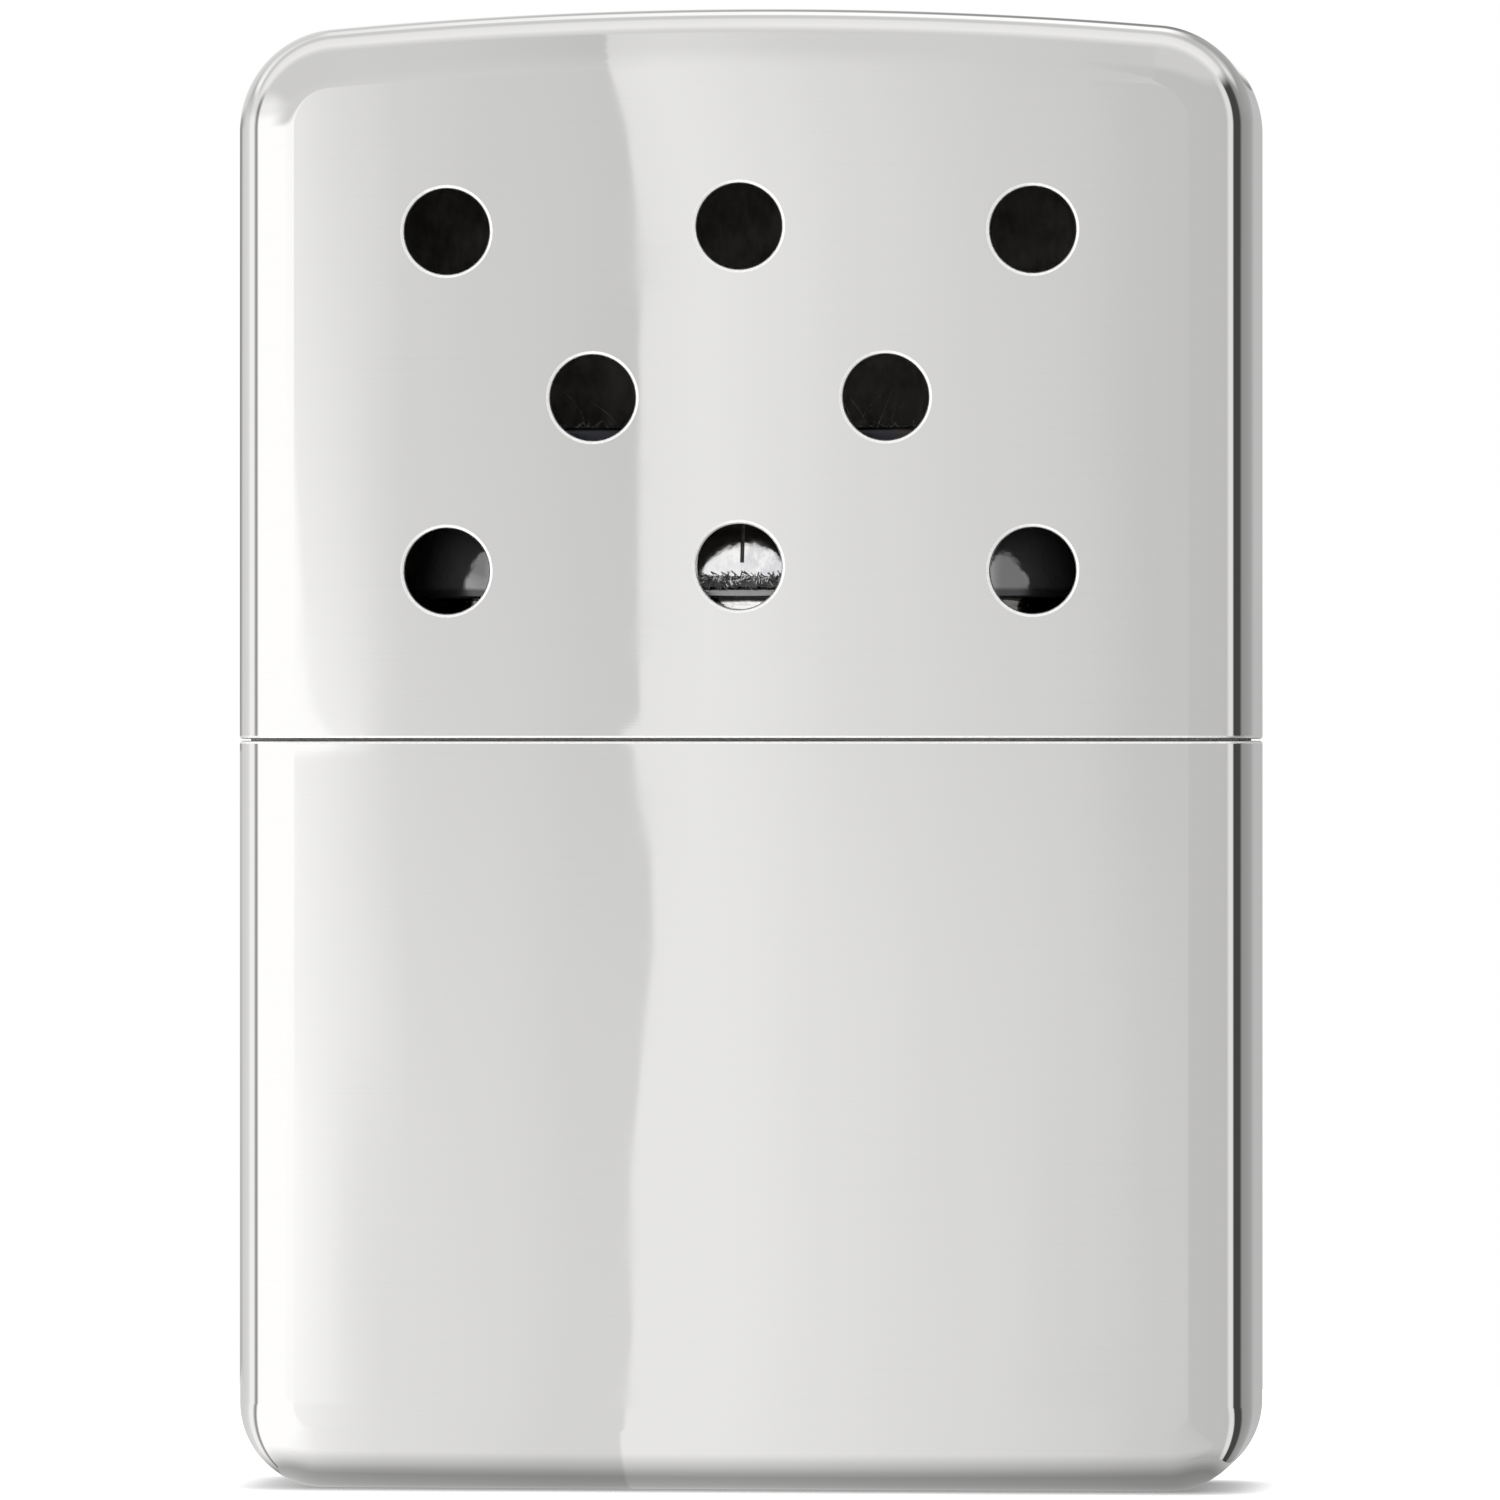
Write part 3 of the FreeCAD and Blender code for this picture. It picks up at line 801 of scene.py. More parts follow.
def loose_fibres(name, body, slot, material, patches, **sizes):
    """Fibres that stand out of flat patches, as one piece. sizes are the node tree's inputs by name."""
    points, faces = [], []
    for patch in patches:
        faces.append(tuple(range(len(points), len(points) + len(patch))))
        points += [tuple(np.asarray(point) * MM) for point in patch]
    surface = bpy.data.meshes.new(name)
    surface.from_pydata(points, [], faces)
    seed_bed = add_object("seed_bed", surface)
    modifier = seed_bed.modifiers.new("fibres", "NODES")
    modifier.node_group = bpy.data.node_groups.get("loose_fibres") or fibre_tree()
    sockets = {item.name: item.identifier for item in modifier.node_group.interface.items_tree}
    modifier[sockets["Finish"]] = material
    for title, value in sizes.items():
        modifier[sockets[title.capitalize()]] = value
    mesh = applied(seed_bed)
    mesh.name = name
    mesh.shade_smooth()
    return carried(name, mesh, body)


def upright_patch(side, reach_x, y, bottom, top):
    """A strip of wall on the burner's front or back, its face outwards."""
    ends = [(-reach_x, bottom), (reach_x, bottom), (reach_x, top), (-reach_x, top)]
    return [(x * -side, side * y, z) for x, z in ends]


def level_patch(reach_x, reach_y, z):
    """A level rectangle that looks up."""
    return [(-reach_x, -reach_y, z), (reach_x, -reach_y, z), (reach_x, reach_y, z), (-reach_x, reach_y, z)]


# ---------------------------------------------------------------- shader sums

class Term:
    """A socket of a finish. Sums written with it become Math nodes."""

    def __init__(self, finish, socket):
        self.finish, self.socket = finish, socket

    def maths(self, operation, *terms):
        return self.finish.node("ShaderNodeMath", {"operation": operation}, dict(enumerate(terms)))

    def __add__(self, other):
        return self.maths("ADD", self, other)

    def __radd__(self, other):
        return self.maths("ADD", other, self)

    def __sub__(self, other):
        return self.maths("SUBTRACT", self, other)

    def __rsub__(self, other):
        return self.maths("SUBTRACT", other, self)

    def __mul__(self, other):
        return self.maths("MULTIPLY", self, other)

    def __rmul__(self, other):
        return self.maths("MULTIPLY", other, self)

    def __truediv__(self, other):
        return self.maths("DIVIDE", self, other)

    def __rtruediv__(self, other):
        return self.maths("DIVIDE", other, self)

    def __neg__(self):
        return self * -1

    def __abs__(self):
        return self.maths("ABSOLUTE", self)

    def __gt__(self, other):
        return self.maths("GREATER_THAN", self, other)

    def __lt__(self, other):
        return self.maths("LESS_THAN", self, other)

    def at_least(self, other):
        """This value, or the other one where that is larger."""
        return self.maths("MAXIMUM", self, other)

    def at_most(self, other):
        """This value, or the other one where that is smaller."""
        return self.maths("MINIMUM", self, other)

    def turn(self, other):
        """The angle in degrees of a direction with this value across and the other one ahead."""
        return self.maths("ARCTAN2", self, other) * DEGREES

    def arc_sine(self):
        """The angle in degrees whose sine this is."""
        return self.maths("ARCSINE", self) * DEGREES


class Finish:
    """A material or world whose node tree is written as expressions."""

    def __init__(self, owner):
        self.owner = owner
        owner.use_nodes = True
        self.tree = owner.node_tree
        self.tree.nodes.clear()

    def node(self, kind, settings=None, inputs=None, out=0):
        """Adds a node: its settings first, then its sockets' values or links. Returns one output."""
        node = self.tree.nodes.new(kind)
        for key, value in (settings or {}).items():
            if key == "stops":
                ramp = node.color_ramp
                while len(ramp.elements) < len(value):
                    ramp.elements.new(0.5)
                for element, (place, colour) in zip(ramp.elements, value):
                    element.position = place
                    element.color = colour if isinstance(colour, tuple) else (colour, colour, colour, 1)
            else:
                setattr(node, key, value)
        for key, value in (inputs or {}).items():
            if isinstance(value, Term):
                self.tree.links.new(value.socket, node.inputs[key])
            else:
                node.inputs[key].default_value = value
        return Term(self, node.outputs[out]) if len(node.outputs) else None

    def between(self, value, low, high, start=0.0, end=1.0):
        """start below low, end above high, and a smooth change between them."""
        return self.node(
            "ShaderNodeMapRange", {"interpolation_type": "SMOOTHSTEP"},
            {"Value": value, "From Min": low, "From Max": high, "To Min": start, "To Max": end},
        )

    def mix(self, share, first, second):
        """A colour between two."""
        return self.node("ShaderNodeMix", {"data_type": "RGBA"}, {0: share, 6: first, 7: second}, out=2)

    def place(self):
        """Object coordinates in millimetres."""
        spot = self.node("ShaderNodeTexCoord", out=3)
        return self.node("ShaderNodeVectorMath", {"operation": "SCALE"}, {0: spot, "Scale": 1 / MM})

    def stretched(self, spot, x, y, z):
        """A place with each axis multiplied, so a pattern on it is drawn out."""
        return self.node("ShaderNodeVectorMath", {"operation": "MULTIPLY"}, {0: spot, 1: (x, y, z)})

    def noise(self, spot, scale=1.0, detail=2.0, roughness=0.5):
        """Soft random values about a half."""
        inputs = {"Vector": spot, "Scale": scale, "Detail": detail, "Roughness": roughness}
        return self.node("ShaderNodeTexNoise", None, inputs)

    def parts(self, spot):
        """The x, y and z of a place or direction."""
        split = self.tree.nodes.new("ShaderNodeSeparateXYZ")
        self.tree.links.new(spot.socket, split.inputs[0])
        return [Term(self, output) for output in split.outputs]

    def stops(self, value, stops):
        """A colour or level by stops from 0 to 1."""
        return self.node("ShaderNodeValToRGB", {"stops": stops}, {"Fac": value})

    def ramp(self, value, stops):
        """A level that changes with a value, by stops of (value, level)."""
        low, high = stops[0][0], stops[-1][0]
        places = [((at - low) / (high - low), level) for at, level in stops]
        return self.stops((value - low) / (high - low), places)

    def ray(self, kind):
        """1 for rays of one kind, else 0."""
        return Term(self, self.tree.nodes.new("ShaderNodeLightPath").outputs[kind])

    def surface(self, shader):
        """Ends the tree."""
        self.node("ShaderNodeOutputMaterial", None, {"Surface": shader})
        return self.owner

    def principled(self, colour, metallic, roughness, height=None, specular=None):
        """Ends the tree in one shader, with a bump whose height is in millimetres."""
        inputs = {"Base Color": colour, "Metallic": metallic, "Roughness": roughness}
        if height is not None:
            relief = {"Height": height, "Strength": 1.0, "Distance": MM}
            inputs["Normal"] = self.node("ShaderNodeBump", None, relief)
        if specular is not None:
            inputs["Specular IOR Level"] = specular
        return self.surface(self.node("ShaderNodeBsdfPrincipled", None, inputs))


made_finishes = {}


def finish(name):
    """Makes a material once, by the function that it decorates."""
    def wrap(draw):
        def material():
            if name not in made_finishes:
                made_finishes[name] = draw(Finish(bpy.data.materials.new(name)))
            return made_finishes[name]
        return material
    return wrap


@finish("polished_plate")
def polished_plate(f):
    """Mirror-bright nickel-chrome with fine hairlines across, faint waves and soft smudges."""
    spot = f.place()
    waves = f.noise(f.stretched(spot, 0.1, 0.1, 0.036), 1.0, 1.0) * 0.02
    hairs = f.noise(f.stretched(spot, 0.09, 1.0, 14.0), 1.0, 4.0, 0.6)
    smudge = f.noise(spot, 0.16, 3.0, 0.55)
    colour = f.mix(f.between(hairs, 0.45, 0.75), (0.604, 0.6, 0.592, 1), (0.596, 0.592, 0.583, 1))
    roughness = f.between(smudge, 0.4, 0.75, 0.012, 0.03)
    return f.principled(colour, 1.0, roughness, waves + hairs * 0.00002)


@finish("dull_inside")
def dull_inside(f):
    """The unpolished inside of the case, stained by heat and fuel."""
    spot = f.place()
    stain = f.noise(spot, 0.35, 4.0, 0.6)
    grain = f.noise(f.stretched(spot, 1.0, 1.0, 0.2), 5.0, 3.0)
    colour = f.mix(f.between(stain, 0.3, 0.7), (0.1, 0.092, 0.084, 1), (0.22, 0.205, 0.19, 1))
    return f.principled(colour, 0.6, f.between(grain, 0.3, 0.7, 0.5, 0.7), grain * 0.004)


@finish("buffed_edge_highlight")
def buffed_edge_highlight(f):
    """The bright, softly buffed edge of a mouth or a punched hole, its pale colour also a painted
    highlight.
    """
    marks = f.noise(f.place(), 6.0, 3.0)
    colour = f.mix(f.between(marks, 0.3, 0.7), (0.95, 0.95, 0.94, 1), (0.88, 0.88, 0.87, 1))
    return f.principled(colour, 1.0, f.between(marks, 0.3, 0.7, 0.3, 0.42), marks * 0.001)


def round_ends(f, x):
    """1 on the burner's round ends, else 0."""
    return f.between(abs(x), band_run, band_run + BAND_END_FADE)


@finish("tinted_strip")
def tinted_strip(f):
    """Bright rolled stainless strip that runs from straw to blue and sooty black where the heat is
    strongest, with painted shade on its round ends and on its rim below the slots.
    """
    spot = f.place()
    x, _, height = f.parts(spot)
    drift = f.noise(spot, 0.5, 3.0, 0.6) * 1.6 - 0.8
    heat = (height + drift - BAND_HEAT_START) / BAND_HEAT_RISE
    tint = f.stops(heat, [
        (0.0, (0.8, 0.8, 0.79, 1)), (0.12, (0.74, 0.72, 0.68, 1)), (0.3, (0.5, 0.4, 0.26, 1)),
        (0.45, (0.24, 0.14, 0.16, 1)), (0.6, (0.1, 0.12, 0.22, 1)), (0.8, (0.07, 0.07, 0.075, 1)),
    ])
    haze = f.between(f.noise(f.stretched(spot, 1.0, 1.0, 0.5), 1.4, 4.0, 0.65), 0.42, 0.62)
    # The grey haze is three times as strong right of the seam as left of it
    tint = f.mix(haze * f.between(x, -1.0, 1.0, 0.3, 0.9), tint, (0.6, 0.6, 0.63, 1))
    # Painted shade: the round ends are coloured dark grey, near black where hot, and made less metallic
    ends = round_ends(f, x)
    tint = f.mix(ends, tint, f.mix(f.between(heat, 0.0, 0.5), (0.2, 0.2, 0.2, 1), (0.04, 0.04, 0.05, 1)))
    # Painted shade: the rim below the slots is coloured grey, darker still on the round ends, and made
    # rougher
    lip = f.between(height + drift * 0.06, slot_foot - 0.12, slot_foot + 0.12, 0.85, 0.0)
    tint = f.mix(lip, tint, f.mix(ends, (0.17, 0.17, 0.175, 1), (0.05, 0.05, 0.055, 1)))
    # Less metallic where heat has sooted the strip, and on the round ends as part of their painted shade
    soot_and_end_shade = f.between(heat, 0.15, 0.6).at_least(ends)
    rolling = f.noise(f.stretched(spot, 0.4, 0.4, 12.0), 1.0, 3.0)
    dents = f.noise(spot, 1.3, 2.0)
    roughness = f.between(heat, 0.1, 0.7, 0.1, 0.3) + f.between(rolling, 0.4, 0.8) * 0.04 + lip * 0.2
    return f.principled(tint, 1.0 - soot_and_end_shade * 0.2, roughness, dents * 0.02 + rolling * 0.0003)


@finish("sooty_cap")
def sooty_cap(f):
    """Pressed stainless cap, blued and darkened by heat, with a duller film in patches."""
    spot = f.place()
    film = f.noise(spot, 0.45, 4.0, 0.6)
    tint = f.stops(film, [
        (0.3, (0.022, 0.022, 0.024, 1)), (0.5, (0.034, 0.035, 0.042, 1)),
        (0.62, (0.055, 0.043, 0.04, 1)), (0.75, (0.04, 0.036, 0.033, 1)),
    ])
    return f.principled(tint, 0.9, f.between(film, 0.3, 0.7, 0.3, 0.5), f.noise(spot, 9.0, 3.0) * 0.002)


@finish("pressed_foot")
def pressed_foot(f):
    """Bright pressed stainless with drawing lines up its walls, specks and small dents, and painted shade:
    near black under the band's foot and on the burner's round ends.
    """
    spot = f.place()
    x, _, height = f.parts(spot)
    lines = f.noise(f.stretched(spot, 8.0, 8.0, 0.25), 1.0, 3.0)
    dents = f.noise(spot, 1.1, 3.0, 0.6)
    specks = f.between(f.noise(spot, 4.0, 2.0), 0.66, 0.72)
    streaks = f.between(f.noise(f.stretched(spot, 0.5, 0.5, 5.0), 1.0, 4.0, 0.6), 0.45, 0.65)
    colour = f.mix(specks.at_least(streaks * 0.7), (0.84, 0.83, 0.82, 1), (0.4, 0.37, 0.34, 1))
    # Painted shade: near black just under the band's foot, and on the burner's round ends
    crevice_shade = f.between(height + dents * 0.15, band_low.z - 0.18, band_low.z - 0.02)
    colour = f.mix(crevice_shade.at_least(round_ends(f, x) * 0.8), colour, (0.02, 0.019, 0.018, 1))
    return f.principled(colour, 1.0, 0.1 + specks * 0.25 + lines * 0.06, dents * 0.05 + lines * 0.0015)


@finish("punched_plate")
def punched_plate(f):
    """Thin stainless plate, browned by heat in patches."""
    spot = f.place()
    stain = f.noise(spot, 0.3, 4.0, 0.6)
    colour = f.mix(f.between(stain, 0.35, 0.65), (0.42, 0.37, 0.3, 1), (0.2, 0.17, 0.19, 1))
    grain = f.noise(f.stretched(spot, 0.5, 10.0, 1.0), 1.0, 3.0)
    return f.principled(colour, 1.0, f.between(grain, 0.3, 0.7, 0.25, 0.4), grain * 0.001)


@finish("deck_plating")
def deck_plating(f):
    """Bright plating with rub marks where the lid slides over it and a little dried fuel on top."""
    spot = f.place()
    height = f.parts(spot)[2]
    rubs = f.between(f.noise(f.stretched(spot, 3.0, 3.0, 0.12), 1.0, 4.0, 0.6), 0.5, 0.68)
    rubs = rubs * f.between(height, tank_high.z, tank_high.z + 1.0)
    film = f.between(f.noise(spot, 0.22, 3.0, 0.6), 0.5, 0.7)
    # Painted light: a pale matt band on the collar at the seam between lid and tank, so the narrow gap
    # there reads grey rather than dark
    from_seam = abs(height - (tank_high.z + lid_low.z) / 2)
    seam_light = f.between(from_seam + film * 0.05, 0.12, 0.25, 1.0, 0.0)
    colour = f.mix(rubs * 0.5, (0.62, 0.61, 0.59, 1), (0.52, 0.5, 0.46, 1))
    colour = f.mix(film * 0.5, colour, (0.5, 0.46, 0.38, 1))
    colour = f.mix(seam_light, colour, (0.68, 0.67, 0.64, 1))
    roughness = 0.06 + rubs * 0.08 + film * 0.1 + seam_light * 0.5
    return f.principled(colour, 1.0 - seam_light, roughness, rubs * -0.0005 + f.noise(spot, 0.6, 2.0) * 0.01)


@finish("neck_plating")
def neck_plating(f):
    """Bright plating, warmed by the burner towards its rim and scuffed where the burner is pushed on."""
    spot = f.place()
    warmth = f.between(f.parts(spot)[2], 42.0, 46.0)
    scuffs = f.between(f.noise(f.stretched(spot, 5.0, 5.0, 0.3), 1.0, 4.0, 0.6), 0.52, 0.66)
    colour = f.mix(warmth, (0.62, 0.6, 0.57, 1), (0.56, 0.47, 0.33, 1))
    colour = f.mix(scuffs * 0.6, colour, (0.44, 0.42, 0.39, 1))
    return f.principled(colour, 1.0, 0.08 + scuffs * 0.22, scuffs * -0.003)


def fibre_colour(f, spot, dark, light, scale):
    """A colour that changes from strand to strand."""
    strands = f.noise(f.stretched(spot, 1.0, 1.0, 0.6), scale, 4.0, 0.7)
    return f.mix(f.between(strands, 0.3, 0.7), dark, light)


@finish("woven_glass")
def woven_glass(f):
    """Woven glass, greyed by the coating and by heat, with fine filaments in each thread."""
    spot = f.place()
    filaments = f.noise(spot, 14.0, 3.0, 0.7)
    colour = fibre_colour(f, spot, (0.1, 0.098, 0.1, 1), (0.34, 0.33, 0.32, 1), 2.2)
    return f.principled(colour, 0.0, f.between(filaments, 0.3, 0.7, 0.45, 0.75), filaments * 0.03, 0.6)


@finish("coated_wool")
def coated_wool(f):
    """Dark metal-coated glass wool, matted into strands."""
    spot = f.place()
    strands = f.noise(f.stretched(spot, 2.0, 2.0, 9.0), 1.0, 5.0, 0.7)
    colour = fibre_colour(f, spot, (0.05, 0.05, 0.052, 1), (0.2, 0.19, 0.18, 1), 3.0)
    return f.principled(colour, 0.0, f.between(strands, 0.3, 0.7, 0.5, 0.8), strands * 0.12)


def strand(f, dark, light, scale, smooth, rough, specular=None):
    """Loose filaments, each with its own shade."""
    spot = f.place()
    colour = fibre_colour(f, spot, dark, light, scale)
    return f.principled(
        colour, 0.0, f.between(f.noise(spot, 8.0), 0.3, 0.7, smooth, rough), specular=specular)


@finish("glass_strand")
def glass_strand(f):
    """Single glass filaments, glossy enough to glint."""
    return strand(f, (0.2, 0.2, 0.2, 1), (0.75, 0.75, 0.74, 1), 6.0, 0.12, 0.35, 0.8)


@finish("clean_strand")
def clean_strand(f):
    """Tufts of uncoated glass filaments, white where they are thick."""
    return strand(f, (0.5, 0.5, 0.5, 1), (0.97, 0.97, 0.96, 1), 5.0, 0.2, 0.45, 0.8)


@finish("singed_strand")
def singed_strand(f):
    """Glass filaments blackened by the coating, with a few bright ends."""
    return strand(f, (0.03, 0.03, 0.032, 1), (0.22, 0.22, 0.22, 1), 5.0, 0.4, 0.7)


@finish("loose_cotton")
def loose_cotton(f):
    """Off-white cotton with a matt, fibrous surface, a little yellowed by fuel."""
    spot = f.place()
    yellow = f.between(f.noise(spot, 0.2, 3.0, 0.6), 0.4, 0.7)
    fluff = f.noise(spot, 5.0, 6.0, 0.75)
    colour = f.mix(yellow, (0.88, 0.87, 0.83, 1), (0.82, 0.78, 0.68, 1))
    colour = f.mix(f.between(fluff, 0.25, 0.5), (0.6, 0.57, 0.5, 1), colour)
    return f.principled(colour, 0.0, f.between(fluff, 0.3, 0.7, 0.8, 0.95), fluff * 0.25, 0.2)


# ---------------------------------------------------------------- studio

# Light about the object, by azimuth in degrees: 0 is in front, + is to its right
AROUND = [
    (-180, 0.84), (-148, 0.84), (-127, 0.98), (-113, 1.1), (-105, 1.42), (-96, 1.4), (-90.5, 0.45),
    (-87, 0.5), (-83, 1.65), (-1, 1.65), (0.5, 0.86), (60, 0.84), (74, 0.82), (79, 1.2), (87, 1.2),
    (90, 0.09), (106, 0.09), (112, 0.46), (150, 0.54), (158, 0.62), (166, 0.55), (180, 0.52),
]
# Light of the card in front, by degrees across it, for its lower and its upper half
AHEAD_LOW = [
    (-10.4, 1.65), (-10.1, 1.56), (-9.88, 1.46), (-9.66, 1.36), (-9.44, 1.29), (-8.99, 1.205),
    (-8.11, 1.16), (-7.22, 1.09), (-6.47, 1.085), (-6.44, 1.33), (-5.44, 1.31), (-4.55, 1.25),
    (-3.66, 1.19), (-2.33, 1.12), (-1.44, 1.06), (-0.99, 1.0), (0.5, 0.88),
]
AHEAD_HIGH = [
    (-10.4, 1.65), (-10.2, 1.62), (-10.16, 1.4), (-9.88, 1.33), (-9.66, 1.26), (-9.3, 1.15),
    (-8.99, 1.075), (-8.11, 1.02), (-7.22, 0.97), (-6.47, 0.94), (-6.44, 1.27), (-5.89, 1.31),
    (-5.44, 1.28), (-4.55, 1.17), (-3.22, 1.08), (-1.88, 0.99), (-0.99, 0.89), (0.5, 0.86),
]
# How far the front card's edge and lower corner are shifted by elevation, in degrees about 0.5
CARD_BOW = [
    (-2.85, 0.25), (-2.5, 0.36), (-1.8, 0.4), (-1.4, 0.5), (-0.84, 0.58), (-0.42, 0.56), (-0.21, 0.49),
    (-0.12, 0.47), (-0.01, 0.47), (0.045, 0.32), (0.062, 0.39), (0.084, 0.45), (0.127, 0.54),
    (0.169, 0.56), (2.0, 0.6), (2.35, 0.53), (2.67, 0.4), (2.92, 0.2),
]
CARD_CORNER = [
    (0.0, 0.5), (0.045, 0.98), (0.09, 0.9), (0.13, 0.82), (0.21, 0.74), (0.42, 0.68), (1.1, 0.58),
    (1.9, 0.47), (2.7, 0.38),
]
# Where the front card is centred in pitch and how far it reaches from there, in degrees
CARD_TILT = 12
CARD_REACH = 64
# The front card curves away overhead: its middle line, and its width's share by pitch
CARD_MIDDLE = -5.3
CARD_SPREAD = [(-50, 1.06), (0, 1.0), (10, 0.85), (20, 0.734), (40, 0.607), (55, 0.56), (75, 0.54)]
# Light over and under it, by pitch in degrees: 0 is in front, 90 overhead, 180 behind
OVERHEAD = [
    (-180, 0.56), (-134, 0.56), (-118, 0.51), (-105, 0.47), (-91, 0.61), (-78, 0.82), (-67, 1.0),
    (-56, 1.16), (-46, 1.27), (-17, 1.28), (0, 1.05), (20, 1.0), (76, 1.0), (82, 1.1), (92, 1.36),
    (110, 1.27), (116, 0.96), (124, 0.96), (129, 1.6), (140, 1.63), (146, 0.42), (156, 0.3), (180, 0.28),
]
# The floor as the metal sees it, with painted shade near the object, by the distance in millimetres from
# the object's outline
FLOOR_SHADE = [
    (-2.6, 0.44), (-1.7, 0.39), (-1.34, 0.37), (-0.9, 0.48), (-0.4, 0.65), (0.2, 0.79), (0.8, 0.92),
    (1.4, 1.0), (2.0, 1.0),
]
# Where the front card's light fans out from, behind the object
FAN_X = 23.3
FAN_Y = 250.0
# Across the front card, in degrees: where its bow starts, its corner ends, its upper half fades out to
# the left and to the right, and its dimmed part ends
BOW_START = (-9.0, -7.6)
CORNER_END = (-9.6, -9.2)
LEFT_FADE = (-10.2, -5.5)
RIGHT_FADE = (-3.0, 0.3)
DIMMED_END = (-5.0, -2.0)
# Up the front card, in degrees: where its lower half becomes its upper one, where it dims, and how much
CARD_HALVES = (-2.7, 1.9)
DIMMED_RISE = (3.0, 50.0)
DIMMED = 0.1
CARD_SOFTNESS = 4
# The cards at the sides, in degrees of elevation: where they dim on the left, where they end, where they
# end near the front card, and how much lower they end near it, behind the object and on the right
SIDE_DIMMED_RISE = (7.0, 14.0)
SIDE_DIMMED = 0.15
SIDE_END = (16.0, 30.0)
NEAR_END = (2.6, 5.0)
NEAR_LOWERED = 16.0
BEHIND_LOWERED = 11.0
RIGHT_RAISED = 12.0
# What counts as near the front card, in degrees sideways, and as behind, by the direction's y
NEAR_LEFT = (-60.0, -20.0)
BEHIND = (0.3, 0.75)
# The light in the upper corners behind the object: its sides in degrees over the level, and its strength
ROOM_CORNER = ((5.0, 16.0), (66.0, 87.0))
ROOM_CORNER_LIGHT = 0.95
ROOM_CORNER_RIGHT = 0.4
# The floor: its edges in metres, its drop under the object in millimetres, its colour, and the light that
# it adds for the camera alone, from the object's foot outwards
FLOOR_SIDES = 0.1
FLOOR_FRONT = -0.09
FLOOR_BACK = 0.1
FLOOR_DROP = 0.02
FLOOR_COLOUR = (0.8, 0.8, 0.8, 1)
FLOOR_GLOW_REACH = (-1.5, 2.5)
FLOOR_GLOW = (0.16, 0.72)


def room_light(w):
    """The light from each direction: a card in front, cards around, and light over and under them."""
    x, y, z = w.parts(w.node("ShaderNodeTexCoord", out=0))
    azimuth, pitch = x.turn(-y), z.turn(-y)
    sideways, elevation = x.arc_sine(), z.arc_sine()
    steep = abs(elevation)
    on_left, on_right = x < 0, x > 0

    # The dark card in front has a bowed right edge and rounded lower corners
    across = (sideways - CARD_MIDDLE) * w.ramp(pitch, CARD_SPREAD) + CARD_MIDDLE
    bow = (w.ramp(elevation, CARD_BOW) - 0.5) * w.between(across, *BOW_START)
    corner = (w.ramp(elevation, CARD_CORNER) - 0.5) * w.between(across, *CORNER_END, 1.0, 0.0)
    bent = across - bow - corner
    ahead = w.mix(w.between(elevation, *CARD_HALVES), w.ramp(bent, AHEAD_LOW), w.ramp(bent, AHEAD_HIGH))
    dimmed = w.between(elevation, *DIMMED_RISE, 0.0, DIMMED) * w.between(across, *DIMMED_END, 1.0, 0.0)
    ahead = w.mix(dimmed, ahead, BLACK)
    in_front = (across > AHEAD_LOW[0][0]) * (across < AHEAD_LOW[-1][0]) * (y < 0)
    dimmed = w.between(steep, *SIDE_DIMMED_RISE, 0.0, SIDE_DIMMED) * on_left
    level = w.mix(in_front, w.mix(dimmed, w.ramp(azimuth, AROUND), BLACK), ahead)

    # The cards end overhead and underfoot, lower down at the sides than in front
    above_card = w.between(abs(pitch - CARD_TILT), CARD_REACH - CARD_SOFTNESS, CARD_REACH + CARD_SOFTNESS)
    near_left = w.between(sideways, *NEAR_LEFT) * on_left
    behind = w.between(y, *BEHIND)
    lowered = near_left * NEAR_LOWERED + behind * BEHIND_LOWERED - on_right * (1.0 - behind) * RIGHT_RAISED
    above_side = w.between(steep + lowered, *SIDE_END)
    above_side = above_side.at_least(w.between(elevation, *NEAR_END) * near_left)
    fading = w.between(across, *LEFT_FADE, 1.0, 0.0).at_least(w.between(across, *RIGHT_FADE)) * above_side
    past = w.mix(in_front, above_side, above_card.at_least(fading))
    light = w.mix(past, level, w.ramp(pitch, OVERHEAD))

    # Behind the object the upper corners of the room are light, on its left most of all
    turned = z.turn(abs(x))
    inner_side, outer_side = ROOM_CORNER
    cornering = w.between(turned, *outer_side, 1.0, 0.0) * w.between(turned, *inner_side) * behind
    return w.mix(cornering, light, ROOM_CORNER_LIGHT - on_right * ROOM_CORNER_RIGHT)


def studio():
    """White background, light and dark cards round the object, and a pale floor."""
    scene = bpy.context.scene
    scene.view_settings.view_transform = "Standard"
    scene.world = bpy.data.worlds.new("studio")
    w = Finish(scene.world)
    mirrored = w.node("ShaderNodeBackground", None, {"Color": room_light(w), "Strength": 1.0})
    seen = w.node("ShaderNodeBackground", None, {"Color": WHITE, "Strength": 1.0})
    shader = w.node("ShaderNodeMixShader", None, {0: w.ray("Is Camera Ray"), 1: mirrored, 2: seen})
    w.node("ShaderNodeOutputWorld", None, {"Surface": shader})
    build_floor()
    place_camera()


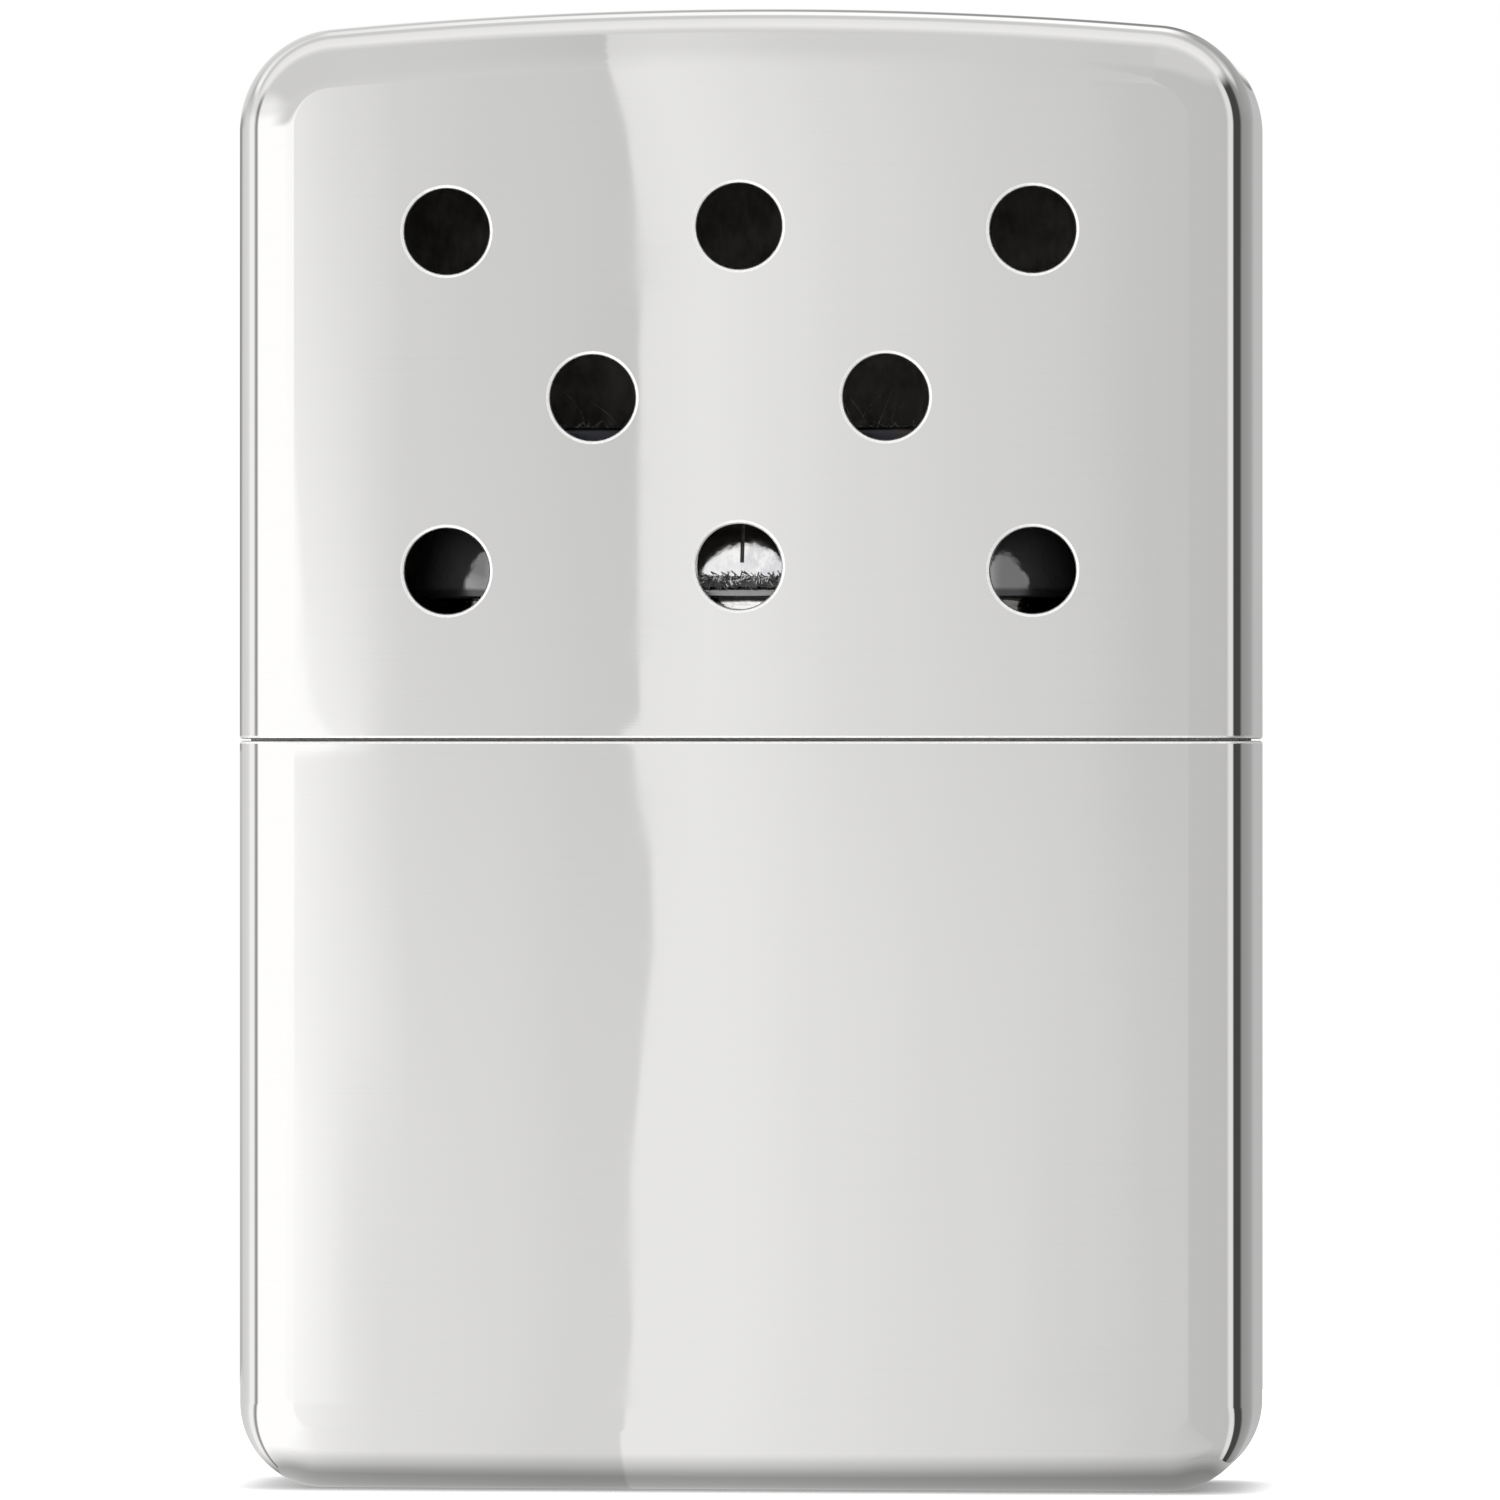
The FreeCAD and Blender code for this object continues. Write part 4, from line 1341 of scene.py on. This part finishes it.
def build_floor():
    """A pale floor that keeps the object's shadow. In the metal it carries on the cards' fan of light."""
    level = cad_bounds[0][2] - FLOOR_DROP * MM
    rim = [(-FLOOR_SIDES, FLOOR_FRONT), (FLOOR_SIDES, FLOOR_FRONT), (FLOOR_SIDES, FLOOR_BACK),
           (-FLOOR_SIDES, FLOOR_BACK)]
    mesh = bpy.data.meshes.new("floor")
    mesh.from_pydata([(x, y, level) for x, y in rim], [], [(0, 1, 2, 3)])
    f = Finish(bpy.data.materials.new("pale_floor"))
    x, y, _ = f.parts(f.place())
    core_x, core_y = half_width - EDGE_RADIUS, half_depth - EDGE_RADIUS
    past_x, past_y = (abs(x) - core_x).at_least(0.0), (abs(y) - core_y).at_least(0.0)
    squares = past_x * past_x + past_y * past_y
    clear = squares.maths("SQRT", squares) - EDGE_RADIUS
    azimuth = (x - x.at_least(-core_x).at_most(core_x)).turn(-y - core_y)
    fan = (x - FAN_X).turn(FAN_Y - y)
    before = (y < -half_depth).at_least(clear < 0)
    in_front = (fan > AHEAD_LOW[0][0]) * (fan < AHEAD_LOW[-1][0]) * before
    cards = f.mix(in_front, f.ramp(azimuth, AROUND), f.ramp(fan, AHEAD_LOW))
    # In the metal the floor glows with the cards' fan of light, and its painted shade darkens it near the
    # object
    shaded = f.mix(f.ramp(clear, FLOOR_SHADE), BLACK, cards)
    mirrored = f.node("ShaderNodeEmission", None, {"Color": shaded})
    paint = f.node("ShaderNodeBsdfDiffuse", None, {"Color": FLOOR_COLOUR})
    glow = f.between(clear, *FLOOR_GLOW_REACH, *FLOOR_GLOW) * f.ray("Is Camera Ray")
    added = f.node("ShaderNodeEmission", None, {"Color": f.mix(glow, BLACK, WHITE)})
    lit = f.node("ShaderNodeAddShader", None, {0: paint, 1: added})
    shader = f.node("ShaderNodeMixShader", None, {0: f.ray("Is Glossy Ray"), 1: lit, 2: mirrored})
    mesh.materials.append(f.surface(shader))
    floor = add_object("floor", mesh)


def place_camera():
    """A long lens in front of the object, a little to its right, at half its height."""
    data = bpy.data.cameras.new("camera")
    camera = add_object("camera", data)
    across = Vector((math.cos(CAMERA_AZIMUTH), math.sin(CAMERA_AZIMUTH), 0))
    back = Vector((math.sin(CAMERA_AZIMUTH), -math.cos(CAMERA_AZIMUTH), 0))
    middle = across * CAMERA_ASIDE * MM + Vector((0, 0, (case_top / 2 + CAMERA_RISE) * MM))
    camera.location = middle + CAMERA_DISTANCE * back
    camera.rotation_euler = (math.pi / 2, 0, CAMERA_AZIMUTH)
    view_height = case_top * MM / FRAME_FILL
    front_distance = CAMERA_DISTANCE - half_depth * MM
    data.sensor_fit = "HORIZONTAL"
    data.sensor_width = SENSOR_WIDTH
    data.lens = SENSOR_WIDTH * front_distance / view_height
    bpy.context.scene.camera = camera


# ---------------------------------------------------------------- the object

def vent_centres():
    """Where each vent goes, as (x, z)."""
    return [
        (x, height - x ** 2 / (2 * VENT_ROW_ARCH))
        for count, height in zip(VENT_ROW_COUNTS, VENT_ROW_HEIGHTS)
        for x in ((column - (count - 1) / 2) * VENT_COLUMN_PITCH for column in range(count))
    ]


def hem_tufts(name, material, low, high, **sizes):
    """Tufts along both slots, from a strip of the hem between two heights."""
    reach = BAND_SLOT_LENGTH / 2 - BAND_SLOT_HEIGHT / 2
    wall = band_radius - BAND_WALL / 2
    patches = [upright_patch(side, reach, wall, low, high) for side in (-1, 1)]
    return loose_fibres(name, "burner", "glass_cloth", material, patches, **sizes)


def top_tufts(name, **sizes):
    """Filaments that stand up from the cover's top."""
    patches = [level_patch(band_run, TOP_FRAY_DEPTH, corners("catalyst_cloth")[1].z)]
    return loose_fibres(name, "burner", "glass_cloth", glass_strand(), patches, **sizes)


for node, material in (
    ("tank_top", deck_plating), ("filler_neck", neck_plating), ("burner_base", pressed_foot),
    ("diffuser_plate", punched_plate), ("burner_grille", sooty_cap),
):
    for material_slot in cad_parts[node].material_slots:
        material_slot.material = material()

case_half("lid_case", "lid", "lid_shell", lid_low.z, lid_high.z, vent_centres())
case_half("tank_case", "tank", "tank_shell", tank_high.z, tank_low.z, [])
cage_band()
wool_pad()
packed_cotton()
cover, cover_cut, cover_area = glass_cover()
hem_fray = hem_tufts(
    "hem_fray", clean_strand(), lean_foot - 0.16, lean_foot,
    density=170 / MM ** 2, length=0.3 * MM, thickness=0.04 * MM, curl=0.9, lean=1.5, seed=5)
hem_singed = hem_tufts(
    "hem_singed", singed_strand(), lean_foot - 0.2, lean_foot - 0.06,
    density=190 / MM ** 2, length=0.42 * MM, thickness=0.03 * MM, curl=1.1, lean=1.5, seed=12)
top_fray = top_tufts(
    "top_fray",
    density=6 / MM ** 2, length=0.8 * MM, thickness=0.014 * MM, curl=0.6, lean=1.5, seed=8)
stray_ends = top_tufts(
    "stray_ends",
    density=0.12 / MM ** 2, length=2.6 * MM, thickness=0.014 * MM, curl=0.5, lean=0.8, seed=21)
cotton_top = corners("fuel_cotton")[1].z
loose_fibres(
    "cotton_lint", "tank", "cotton", loose_cotton(),
    [level_patch(LINT_WIDTH, LINT_DEPTH, cotton_top - LINT_SUNK)],
    density=14 / MM ** 2, length=1.3 * MM, thickness=0.02 * MM, curl=1.2, lean=1.5, seed=3)
studio()
